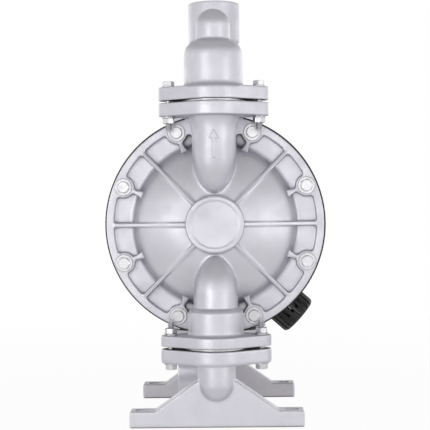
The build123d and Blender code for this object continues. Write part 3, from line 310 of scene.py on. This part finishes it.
def piece(name, mesh, material, body="housing", stands_for=()):
    """A new piece with one finish, standing for CAD nodes and riding on a body, if given."""
    made = bpy.data.objects.new(name, mesh)
    bpy.context.scene.collection.objects.link(made)
    made.data.materials.clear()
    made.data.materials.append(material)
    if body:
        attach(made, body)
    if stands_for:
        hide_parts(*stands_for)
    print(name, len(mesh.polygons), "faces")
    return made


def baked(mesh, *modifiers):
    """The mesh after some modifiers, each given as (kind, settings)."""
    carrier = bpy.data.objects.new("carrier", mesh)
    bpy.context.scene.collection.objects.link(carrier)
    for kind, settings in modifiers:
        modifier = carrier.modifiers.new(kind.lower(), kind)
        for key, value in settings.items():
            setattr(modifier, key, value)
    graph = bpy.context.evaluated_depsgraph_get()
    made = bpy.data.meshes.new_from_object(carrier.evaluated_get(graph))
    bpy.data.objects.remove(carrier)
    return made


def relaxed(mesh, weight, passes):
    """Moves each point towards its neighbours, as far as weight says for places in millimetres."""
    count = len(mesh.vertices)
    points = np.empty(count * 3)
    mesh.vertices.foreach_get("co", points)
    points = points.reshape(-1, 3)
    pairs = np.empty(len(mesh.edges) * 2, dtype=np.int32)
    mesh.edges.foreach_get("vertices", pairs)
    first, second = pairs.reshape(-1, 2).T
    degree = np.bincount(pairs, minlength=count)
    share = 0.5 * weight(*(points / MM).T)
    for _ in range(passes):
        for axis in points.T:
            total = np.bincount(first, axis[second], count)
            total = total + np.bincount(second, axis[first], count)
            axis += share * (total / degree - axis)
    mesh.vertices.foreach_set("co", points.ravel())
    mesh.update()


def widened(mesh, growth):
    """Moves points away from the nearer valve axis, as far as growth says in millimetres."""
    points = np.empty(len(mesh.vertices) * 3)
    mesh.vertices.foreach_get("co", points)
    x, y, z = points.reshape(-1, 3).T / MM
    across = np.abs(y) - VALVE_AXIS_Y
    r = np.maximum(np.hypot(x, across), 0.001)
    share = growth(r, z) / r
    moved = np.column_stack([x + x * share, y + across * share * np.sign(y), z])
    mesh.vertices.foreach_set("co", moved.ravel() * MM)


def rounded_casting(mesh, voxel, passes, keep=0.4, fillets=None, flare=None):
    """The casting with every edge rounded by about a voxel, and more where fillets says.

    Only a share of the faces is kept afterwards, which flat places don't miss.
    """
    remesh = ("REMESH", {"mode": "VOXEL", "voxel_size": voxel * MM, "use_smooth_shade": True})
    relax = ("SMOOTH", {"factor": 0.5, "iterations": passes})
    made = baked(mesh, remesh, relax)
    if flare:
        widened(made, flare)
    if fillets:
        relaxed(made, fillets, FILLET_PASSES)
    made = baked(made, ("DECIMATE", {"ratio": keep}))
    made.shade_smooth()
    return made


# %% [markdown]
# Where a round tube meets a flange or the dome, the mould has a generous fillet. A zone is a
# smooth bump function of the place, and inside it the surface is relaxed many more times than
# elsewhere. The upper tubes also open like a trumpet under their flanges. All in millimetres.

# %% Fillet zones
COVER_FLANGE_Z = 281.0
COLLAR_TOP_Z = 83.0
MANIFOLD_FLANGE_Z = 307.0
SHOULDER_Z = 343.0
FLARE = 3.0
FLARE_LENGTH = 14.0
FLARE_RINGS = (18.5, 20.2, 28.0)


def bump_at(value, middle, reach):
    """1 at the middle of a range, falling smoothly to 0 at its ends."""
    return np.clip(1 - ((value - middle) / reach) ** 2, 0, 1)


def from_valve_axis(x, y):
    """Distance from the upright line through the valves of the nearer cover."""
    return np.hypot(x, np.abs(y) - VALVE_AXIS_Y)


def cover_fillets(x, y, z):
    """Necks of both tubes at their flanges, seams of the tubes on the dome, and their tips."""
    r = from_valve_axis(x, y)
    from_middle = np.abs(z - ROD_Z)
    upper_neck = bump_at(z, COVER_FLANGE_Z, 8) * bump_at(r, 23, 7)
    lower_neck = bump_at(z, COLLAR_TOP_Z, 6) * bump_at(r, 26.5, 5)
    seam = bump_at(from_middle, 52, 30) * bump_at(r, 21, 6) * (np.abs(y) < VALVE_AXIS_Y + 4)
    tips = bump_at(from_middle, 33, 13) * (r < 24)
    return np.maximum.reduce([upper_neck, lower_neck, seam, 0.7 * tips])


def tube_flare(r, z):
    """How far the wall of an upper tube moves out: most beside the flange, at the tube's skin."""
    inner, skin_r, outer = FLARE_RINGS
    above = z - (COVER_FLANGE_Z - FLARE_LENGTH)
    rise = (np.clip(above, 0, FLARE_LENGTH) / FLARE_LENGTH) ** 2 * (z < COVER_FLANGE_Z + 0.5)
    return FLARE * rise * np.clip((outer - r) / (outer - skin_r), 0, 1) * (r > inner)


def manifold_fillets(x, y, z):
    """Neck of each ball housing at its flange, and its round shoulder."""
    r = from_valve_axis(x, y)
    neck = bump_at(z, MANIFOLD_FLANGE_Z, 6) * bump_at(r, 27.5, 5)
    shoulder = bump_at(z, SHOULDER_Z, 13) * (r > 18) * (r < 30)
    return np.maximum(neck, shoulder)


# %% [markdown]
# The two ends of the pump are its largest castings. Each fluid cover carries a dome, ribs, bolt
# bosses and the two valve tubes, and the air chamber behind it clamps the diaphragm.

# %% Fluid covers and air chambers
for side in ("front", "rear"):
    node = side + "_fluid_cover"
    mesh = rounded_casting(
        plain_mesh(node), voxel=0.65, passes=3, keep=0.25, fillets=cover_fillets, flare=tube_flare
    )
    piece(side + "_cover_casting", mesh, blasted, stands_for=[node])
    node = side + "_air_chamber"
    mesh = rounded_casting(plain_mesh(node), voxel=1.0, passes=3)
    piece(side + "_chamber_casting", mesh, blasted, stands_for=[node])

# %% [markdown]
# The ports are threaded for pipe. The bore of the casting is first opened to the root of the
# thread, by moving its wall outward, and then lined with a turned helix, so the crests catch the
# light.

# %% Tools for threads
PIPE_THREAD_PITCH = 2.309
PORT_CREST_R = 15.15
PORT_ROOT_R = 16.55
PORT_THREAD_LEN = 20.0
PORT_AROUND = 72
INSIDE_BORE = 2.0
INSIDE_WALL = 3.2


def opened_bore(mesh, face, inward):
    """Moves the wall of a port out to the root of its thread, less and less inside the wall."""
    face, inward = Vector(face), Vector(inward)
    for vertex in mesh.vertices:
        out = vertex.co - face * MM
        along = out.dot(inward)
        off = out - inward * along
        beyond, deep = off.length / MM - PORT_CREST_R, along / MM
        if not -INSIDE_BORE <= beyond <= INSIDE_WALL or not -1 < deep < PORT_THREAD_LEN + 1.5:
            continue
        grow = (PORT_ROOT_R - PORT_CREST_R + 0.1) * min(1.0, (beyond + INSIDE_BORE) / 1.6)
        if beyond > 0:
            grow *= 1 - beyond / INSIDE_WALL
        grow *= min(1.0, max(0.0, (PORT_THREAD_LEN + 1.0 - deep) / 2.0))
        vertex.co += off.normalized() * (grow * MM)


def thread_grid(work, crest_r, root_r, pitch, length, around, per_turn, lead):
    """Rows of a helical thread along Z, from 0 to length, as lists of vertices.

    The thread grows from nothing over the lead at each end.
    """
    rows = []
    count = max(2, round(length / pitch * per_turn))
    for step in range(count + 1):
        z = length * step / count
        row = []
        for turn in range(around):
            phase = (z / pitch - turn / around) % 1.0
            flank = min(1.0, abs(2 * phase - 1) * 1.25)
            radius = root_r + (crest_r - root_r) * (1 - flank)
            ends = min(1.0, z / lead, (length - z) / lead)
            radius = root_r + (radius - root_r) * ends
            angle = tau * turn / around
            row.append(work.verts.new((radius * cos(angle), radius * sin(angle), z)))
        rows.append(row)
    return rows


def skin(work, rows):
    """Quads between rows of vertices that close on themselves."""
    for low, high in zip(rows, rows[1:]):
        for k in range(len(low)):
            work.faces.new([low[k - 1], low[k], high[k], high[k - 1]])


def ring(work, radius, z, around):
    """One level row of vertices round the Z axis."""
    return [
        work.verts.new((radius * cos(tau * k / around), radius * sin(tau * k / around), z))
        for k in range(around)
    ]


def set_down(work, name, turn=Matrix.Identity(4), place=(0, 0, 0)):
    """The finished mesh in metres, turned and moved to its place in millimetres."""
    bmesh.ops.recalc_face_normals(work, faces=work.faces)
    made = bpy.data.meshes.new(name)
    work.to_mesh(made)
    work.free()
    made.transform(Matrix.Translation(Vector(place) * MM) @ turn @ Matrix.Scale(MM, 4))
    return made


def thread_lining(name, face, turn):
    """The inner thread of a port, from its face inward along +Z before the turn."""
    work = bmesh.new()
    inner = thread_grid(
        work, PORT_CREST_R, PORT_ROOT_R, PIPE_THREAD_PITCH, PORT_THREAD_LEN, PORT_AROUND,
        per_turn=8, lead=1.6,
    )
    outer = [ring(work, PORT_ROOT_R + 0.15, z, PORT_AROUND) for z in (0.15, PORT_THREAD_LEN)]
    skin(work, [outer[0], inner[0]])
    skin(work, inner)
    skin(work, [inner[-1], outer[1]])
    skin(work, outer[::-1])
    made = set_down(work, name, turn, face)
    made.shade_smooth()
    return made


# %% [markdown]
# The discharge manifold joins the two upper valves to the outlet at the top, and the suction
# manifold joins the lower valves, holds the inlet and ends in the two feet.

# %% Manifolds
OUTLET_FACE = (0, 0, 397.0)
INLET_FACE = (-38.0, 0, 39.0)
top_mesh = rounded_casting(
    plain_mesh("discharge_manifold"), voxel=0.8, passes=4, fillets=manifold_fillets
)
opened_bore(top_mesh, OUTLET_FACE, (0, 0, -1))
piece(
    "discharge_manifold_casting", top_mesh, blasted,
    stands_for=["discharge_manifold"],
)
base_mesh = rounded_casting(plain_mesh("suction_manifold"), voxel=0.8, passes=5)
opened_bore(base_mesh, INLET_FACE, (1, 0, 0))
# The suction manifold takes the finish with painted shade on its rear half.
piece(
    "suction_manifold_casting", base_mesh, rear_shaded,
    stands_for=["suction_manifold"],
)
for name, face, turn in (
    ("outlet_thread", OUTLET_FACE, Matrix.Rotation(pi, 4, "X")),
    ("inlet_thread", INLET_FACE, Matrix.Rotation(pi / 2, 4, "Y")),
):
    piece(name, thread_lining(name, face, turn), turned_aluminium)

# %% [markdown]
# The centre block carries the rod and the air valve chest, and two caps close the chest. All are
# castings, so they get the same rounding, with finer voxels where the casting is small.

# %% Centre block, chest and caps
for name, node, voxel in (
    ("centre_block_casting", "centre_block", 1.1),
    ("valve_chest_casting", "valve_chest", 0.8),
    ("front_cap_casting", "front_valve_cap", 0.5),
    ("rear_cap_casting", "rear_valve_cap", 0.5),
):
    piece(name, rounded_casting(plain_mesh(node), voxel, passes=3), blasted,
          stands_for=[node])

# %% [markdown]
# The muffler is a moulded plastic shell with flutes for grip and long slots that let the air out.

# %% Muffler
piece(
    "muffler_moulding",
    rounded_casting(plain_mesh("exhaust_muffler"), voxel=0.32, passes=2, keep=0.2),
    plastic,
    stands_for=["exhaust_muffler"],
)

# %% [markdown]
# Every screw of the castings is the same M6 hexagon bolt. A hexagon's corners are cut by a cone,
# which leaves the round chamfer and the small arcs on its flats. Each bolt finds its place from
# the matching solid of the model, so the fasteners always sit where the holes are.

# %% Places of the fasteners
def islands(node):
    """The box of each separate solid of a CAD node, in millimetres."""
    work = bmesh.new()
    work.from_mesh(nodes[node].data)
    bmesh.ops.remove_doubles(work, verts=work.verts, dist=WELD)
    left, boxes = set(work.verts), []
    while left:
        front = [left.pop()]
        points = [front[0].co.copy()]
        while front:
            for edge in front.pop().link_edges:
                for vertex in edge.verts:
                    if vertex in left:
                        left.remove(vertex)
                        front.append(vertex)
                        points.append(vertex.co.copy())
        grid = np.array(points) / MM
        boxes.append((grid.min(0), grid.max(0)))
    work.free()
    return sorted(boxes, key=lambda box: tuple(box[0].round(2)))


# %% [markdown]
# A bolt is drawn as rows of points along its axis, joined into a skin: two rows for a plain
# cylinder, many for a thread, four for a chamfered hexagon. Real M6 sizes are used throughout.

# %% Hexagon bolt, nut and washer
THREAD_R = 3.0
THREAD_ROOT_R = 2.45
THREAD_PITCH = 1.0
HEX_AF = 10.0
HEAD_H = 4.2
SHANK_AROUND = 24
SHANK_IN_HEAD = 0.2
TIP_CHAMFER = 0.5
HEX_AROUND = 48
WASHER_AROUND = 40
WASHER_BORE_R = 3.2
CORNER_WEAR = 0.12
CHAMFER_SLOPE = 0.55
CHAMFER_INSET = 0.25
NUT_COUNTERSINK = 0.55
NUT_PLAY = 0.02
SOFT_RIM = 0.25


def hex_radius(angle, flats):
    """Distance from the middle of a hexagon to its side, its corners slightly rubbed."""
    off = (angle + pi / 6) % (pi / 3) - pi / 6
    return min(flats / 2 / cos(off), flats / 2 / cos(pi / 6) - CORNER_WEAR)


def hex_rows(work, low, high, chamfer_high):
    """Rows of a hexagonal prism, chamfered at its low end and perhaps at its high end."""
    face_r = HEX_AF / 2 - CHAMFER_INSET
    rows = []
    angles = [tau * k / HEX_AROUND for k in range(HEX_AROUND)]
    radii = [hex_radius(angle, HEX_AF) for angle in angles]

    def row(pick):
        made = []
        for angle, radius in zip(angles, radii):
            r, z = pick(radius)
            made.append(work.verts.new((r * cos(angle), r * sin(angle), z)))
        rows.append(made)

    row(lambda radius: (face_r, low))
    row(lambda radius: (radius, low + max(0.0, radius - face_r) * CHAMFER_SLOPE))
    if chamfer_high:
        row(lambda radius: (radius, high - max(0.0, radius - face_r) * CHAMFER_SLOPE))
        row(lambda radius: (face_r, high))
    else:
        row(lambda radius: (radius, high))
    return rows


def capped(work, rows):
    skin(work, rows)
    work.faces.new(rows[0][::-1])
    work.faces.new(rows[-1])


def add_bolt(work, length, thread):
    """A bolt along +Z: its head below 0 and its shank, with a threaded end, up to the length."""
    capped(work, hex_rows(work, -HEAD_H, 0.0, False))
    plain = length - thread
    low = [ring(work, THREAD_R, z, SHANK_AROUND) for z in (-SHANK_IN_HEAD, plain)]
    rows = thread_grid(
        work, THREAD_R, THREAD_ROOT_R, THREAD_PITCH, thread, SHANK_AROUND, per_turn=6, lead=0.5
    )
    for line in rows:
        for vertex in line:
            vertex.co.z += plain
    tip = ring(work, THREAD_ROOT_R - TIP_CHAMFER, length, SHANK_AROUND)
    capped(work, low + rows[:-1] + [tip])


def add_nut(work, height):
    """A nut along +Z from 0, chamfered at both ends, with its bore on the thread."""
    rows = hex_rows(work, 0.0, height, True)
    wide, tight = THREAD_R + NUT_COUNTERSINK, THREAD_R + NUT_PLAY
    profile = ((wide, 0.0), (tight, 0.5), (tight, height - 0.5), (wide, height))
    bore = [ring(work, r, z, HEX_AROUND) for r, z in profile]
    skin(work, [bore[0]] + rows + [bore[-1]])
    skin(work, bore[::-1])


def add_washer(work, outer, thick):
    """A flat washer along +Z from 0 with softened rims."""
    profile = (
        (WASHER_BORE_R, 0.0), (outer - SOFT_RIM, 0.0), (outer, SOFT_RIM),
        (outer, thick - SOFT_RIM), (outer - SOFT_RIM, thick), (WASHER_BORE_R, thick),
    )
    rows = [ring(work, r, z, WASHER_AROUND) for r, z in profile]
    skin(work, rows + [rows[0]])


def fastened(name, node, add, direction):
    """One piece with a fastener at each solid of a CAD node.

    add draws one fastener along +Z for a box length, and direction gives the way it points.
    """
    parts = bmesh.new()
    for low, high in islands(node):
        middle = (low + high) / 2
        way = Vector(direction(middle))
        axis = max(range(3), key=lambda k: abs(way[k]))
        start = middle.copy()
        start[axis] = low[axis] if way[axis] > 0 else high[axis]
        single = bmesh.new()
        add(single, float(high[axis] - low[axis]))
        bmesh.ops.recalc_face_normals(single, faces=single.faces)
        spin = Matrix.Rotation(radians(37 * float(middle[0] + middle[2]) % 60), 4, "Z")
        turn = way.to_track_quat("Z", "X").to_matrix().to_4x4() @ spin
        shift = Matrix.Translation(Vector([float(v) for v in start]) * MM)
        bmesh.ops.transform(single, matrix=shift @ turn @ Matrix.Scale(MM, 4), verts=single.verts)
        hold = bpy.data.meshes.new("hold")
        single.to_mesh(hold)
        single.free()
        parts.from_mesh(hold)
        bpy.data.meshes.remove(hold)
    mesh = bpy.data.meshes.new(name)
    parts.to_mesh(mesh)
    parts.free()
    piece(name, mesh, zinc_plate, stands_for=[node])
    mesh.shade_smooth()
    mesh.set_sharp_from_angle(angle=radians(20))


# %% [markdown]
# The cover bolts point into the pump from both ends, the upper flange bolts point down and the
# lower ones point up, as a fitter would put them in from outside.

# %% Cover and flange fasteners
COVER_THREAD = 16
FLANGE_THREAD = 18


def bolt_of(thread):
    def draw(work, length):
        shank = length - HEAD_H
        add_bolt(work, shank, thread)
        for vertex in work.verts:
            vertex.co.z += HEAD_H

    return draw


def washer_of(outer):
    def draw(work, thick):
        add_washer(work, outer, thick)

    return draw


SIDES = {"front": 1, "rear": -1}
for side, toward in SIDES.items():
    def inward(middle, way=toward):
        return (0, way, 0)

    fastened(side + "_cover_hex_bolts", side + "_cover_bolts", bolt_of(COVER_THREAD), inward)
    fastened(side + "_cover_hex_nuts", side + "_cover_nuts", add_nut, inward)
for name, way in (("discharge", -1), ("suction", 1)):
    def upright(middle, way=way):
        return (0, 0, way)

    fastened(name + "_hex_bolts", name + "_flange_bolts", bolt_of(FLANGE_THREAD), upright)
    fastened(name + "_hex_nuts", name + "_flange_nuts", add_nut, upright)

# %% [markdown]
# Washers come in pairs on each bolt, one under the head and one under the nut. The cover has large
# ones, which spread the load over its bosses, and the flanges have the common size.

# %% Washers
COVER_WASHER_R = 7.8
FLANGE_WASHER_R = 6.2
for side in SIDES:
    fastened(side + "_cover_round_washers", side + "_cover_washers", washer_of(COVER_WASHER_R),
             lambda middle: (0, 1, 0))
for name in ("discharge", "suction"):
    fastened(name + "_round_washers", name + "_flange_washers", washer_of(FLANGE_WASHER_R),
             lambda middle: (0, 0, 1))

# %% [markdown]
# A cast arrow on the upper tube shows the way the liquid flows. It stands under a millimetre proud
# of a round tube, so it is drawn flat as a fine grid and then wrapped onto the cylinder.

# %% Flow arrow
TUBE_R = 20.2
ARROW_LOW, ARROW_HIGH = 243.0, 268.0
ARROW_HEAD = 8.0
ARROW_RISE = 0.8
HEAD_HALF_WIDTH = 4.8
STEM_HALF_WIDTH = 1.5
ARROW_SLOPE = 0.45
SUNK = 0.12
STEP = 0.3
REACH = 5.7


def arrow_half_width(z):
    if z > ARROW_HIGH - ARROW_HEAD:
        return HEAD_HALF_WIDTH * (ARROW_HIGH - z) / ARROW_HEAD
    return STEM_HALF_WIDTH


def arrow_mesh():
    """The arrow as a skin over the tube, which dips just below the tube outside the arrow."""
    work = bmesh.new()
    columns = round(2 * REACH / STEP)
    lines = round((ARROW_HIGH - ARROW_LOW + 2) / STEP)
    grid = []
    for i in range(lines + 1):
        z = ARROW_LOW - 1 + STEP * i
        row = []
        for j in range(columns + 1):
            x = -REACH + STEP * j
            inside = min(arrow_half_width(z) - abs(x), ARROW_HIGH - z, z - ARROW_LOW)
            rise = ARROW_RISE * min(1.0, max(0.0, inside / ARROW_SLOPE + 0.5)) - SUNK
            radius = TUBE_R + rise
            angle = x / TUBE_R
            row.append(work.verts.new(
                (radius * sin(angle), -VALVE_AXIS_Y - radius * cos(angle), z)))
        grid.append(row)
    for low, high in zip(grid, grid[1:]):
        for k in range(columns):
            work.faces.new((low[k], low[k + 1], high[k + 1], high[k]))
    shell = set_down(work, "flow_arrow")
    made = baked(shell, ("SOLIDIFY", {"thickness": 0.0006, "offset": -1}))
    made.shade_smooth()
    return made


piece("flow_arrow", arrow_mesh(), blasted)

# %% [markdown]
# A diaphragm is clamped at its rim and pushed at its middle, and the fold between them rolls.
# Here its sheet is only cut into short edges inside the clamp, and it keeps the shape of the
# model.

# %% Diaphragms
CLAMP_R = 75.0
FINEST = 3.0
CUTS = 7


def from_rod(point):
    return hypot(point.x, point.z - ROD_Z * MM)


def finely_cut(mesh):
    """The same shape, with only short edges where the rubber bends."""
    work = bmesh.new()
    work.from_mesh(mesh)
    for _ in range(CUTS):
        long = [
            edge for edge in work.edges
            if edge.calc_length() > FINEST * MM
            and min(from_rod(end.co) for end in edge.verts) < CLAMP_R * MM
        ]
        bmesh.ops.subdivide_edges(work, edges=long, cuts=1)
        bmesh.ops.triangulate(work, faces=work.faces)
    made = bpy.data.meshes.new("sheet")
    work.to_mesh(made)
    work.free()
    return made


for side in SIDES:
    node = side + "_diaphragm"
    sheet = finely_cut(plain_mesh(node))
    made = piece(node + "_rubber", sheet, rubber, None, [node])
    places = [vertex.co.copy() for vertex in sheet.vertices]
    for vertex in sheet.vertices:
        vertex.co = (from_rod(vertex.co), 0, 0)
    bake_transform(made)
    for vertex, place in zip(sheet.vertices, places):
        vertex.co = place
    sheet.shade_smooth()
    sheet.set_sharp_from_angle(angle=radians(30))

# %% [markdown]
# The pieces that are left are turned, moulded or cut from sheet. Their model shapes are right as
# they are, and each takes the finish of its material slot in the record. So do the nodes behind
# the new pieces.

# %% Finishes of the other parts
FINISHES = {
    "cast_aluminium": blasted,
    "machined_aluminium": turned_aluminium,
    "zinc_plated_steel": zinc_plate,
    "stainless_steel": stainless,
    "ground_steel": ground_steel,
    "bronze": bronze,
    "black_rubber": rubber,
    "gasket_sheet": gasket,
    "white_ptfe": ptfe,
    "black_plastic": plastic,
}
for part in frame["record"]["subparts"]:
    coat = nodes[part["node"]].data.materials
    coat.clear()
    coat.append(FINISHES[part["material_slot"]])
bare = sorted(n for n, o in nodes.items() if not o.data.materials)
print("nodes without a finish", bare)

# %% [markdown]
# Product photographs are lit from all around and stand on white. The floor glows white to the
# camera and mostly white to mirrored rays, and keeps a trace of its matt side for the shadow.

# %% Floor
def floor_finish():
    r = Recipe("pale_floor")
    far = r.ramp(
        r.node("ShaderNodeVectorMath", {"operation": "LENGTH"}, {0: r.place()}, out="Value") / 2.0,
        (0.12, 0.0), (0.55, 1.0),
    )
    seen, shine = (
        r.node("ShaderNodeLightPath", out=ray) for ray in ("Is Camera Ray", "Is Glossy Ray")
    )
    speck = r.noise(300)
    matt = r.node("ShaderNodeBsdfPrincipled", None, {
        "Base Color": r.shade(speck * 0.1, (0.86, 0.86, 0.86, 1), (0.80, 0.80, 0.80, 1)),
        "Roughness": 0.9,
    })
    white = r.node("ShaderNodeEmission", None, {"Color": (1, 1, 1, 1), "Strength": 1.0})
    share = seen * (0.965 + 0.035 * far) + 0.72 * shine
    both = r.node("ShaderNodeMixShader", None, {0: share, 1: matt, 2: white})
    r.node("ShaderNodeOutputMaterial", None, {"Surface": both})
    return r.made


def floor_mesh():
    work = bmesh.new()
    rows = [ring(work, radius, -0.05, 96) for radius in (1000, 3000, 9000)]
    work.faces.new(rows[0])
    skin(work, rows)
    return set_down(work, "floor")


floor = bpy.data.objects.new("floor", floor_mesh())
bpy.context.scene.collection.objects.link(floor)
floor.data.materials.append(floor_finish())

# %% [markdown]
# Blasted metal mirrors the room in a blurred way, so the room is part of the finish. In the
# photograph upright faces are bright and faces that tilt up or down are greyer. That is a room
# with white walls and a dim ceiling, so the sky fades away from the horizon. The camera sees it
# white.

# %% Sky
def sky():
    r = Recipe("studio", bpy.data.worlds)
    way = r.node("ShaderNodeTexCoord", out="Generated")
    height = r.node("ShaderNodeSeparateXYZ", None, {0: way}, out="Z")
    steep = r.node("ShaderNodeMath", {"operation": "ABSOLUTE"}, {0: height})
    walls = r.ramp(steep, (0.06, 1.0), (0.60, 0.38))
    seen, shine, through = (
        r.node("ShaderNodeLightPath", out=ray)
        for ray in ("Is Camera Ray", "Is Glossy Ray", "Is Transmission Ray")
    )
    mirrored = shine + through
    level = seen + (1 - seen) * walls * (0.68 + 0.62 * mirrored)
    glow = r.node("ShaderNodeBackground", None, {"Color": (1, 1, 1, 1), "Strength": level})
    r.node("ShaderNodeOutputWorld", None, {"Surface": glow})
    return r.made


bpy.context.scene.world = sky()

# %% [markdown]
# Large lamps stand left, right and in front at the height of the pump, for the soft streaks on
# the dome and the tubes. They stay low in power, so that pale metal keeps its own tone.

# %% Lamps
PUMP_MIDDLE = Vector((0, 0, 0.19))
# name, place, (width, height) in metres, watts
LAMPS = (
    ("front_left", (-1.10, -1.90, 0.20), (0.6, 0.5), 5.0),
    ("front", (0.20, -2.2, 0.20), (2.4, 0.5), 3.5),
    ("front_right", (1.68, -1.42, 0.22), (0.6, 0.44), 3.3),
    ("back_left", (-1.3, 1.5, 0.45), (1.2, 0.8), 1.5),
    ("back_right", (1.3, 1.6, 0.45), (1.2, 0.8), 1.5),
    ("above", (0.0, -0.3, 2.2), (2.6, 2.6), 1.5),
)
for name, place, (wide, high), power in LAMPS:
    light = bpy.data.lights.new(name, "AREA")
    light.shape = "RECTANGLE"
    light.size = wide
    light.size_y = high
    light.energy = power
    lamp = bpy.data.objects.new(name, light)
    lamp.location = place
    lamp.rotation_euler = (PUMP_MIDDLE - Vector(place)).to_track_quat("-Z", "Y").to_euler()
    bpy.context.scene.collection.objects.link(lamp)
print("lamps", len(LAMPS))
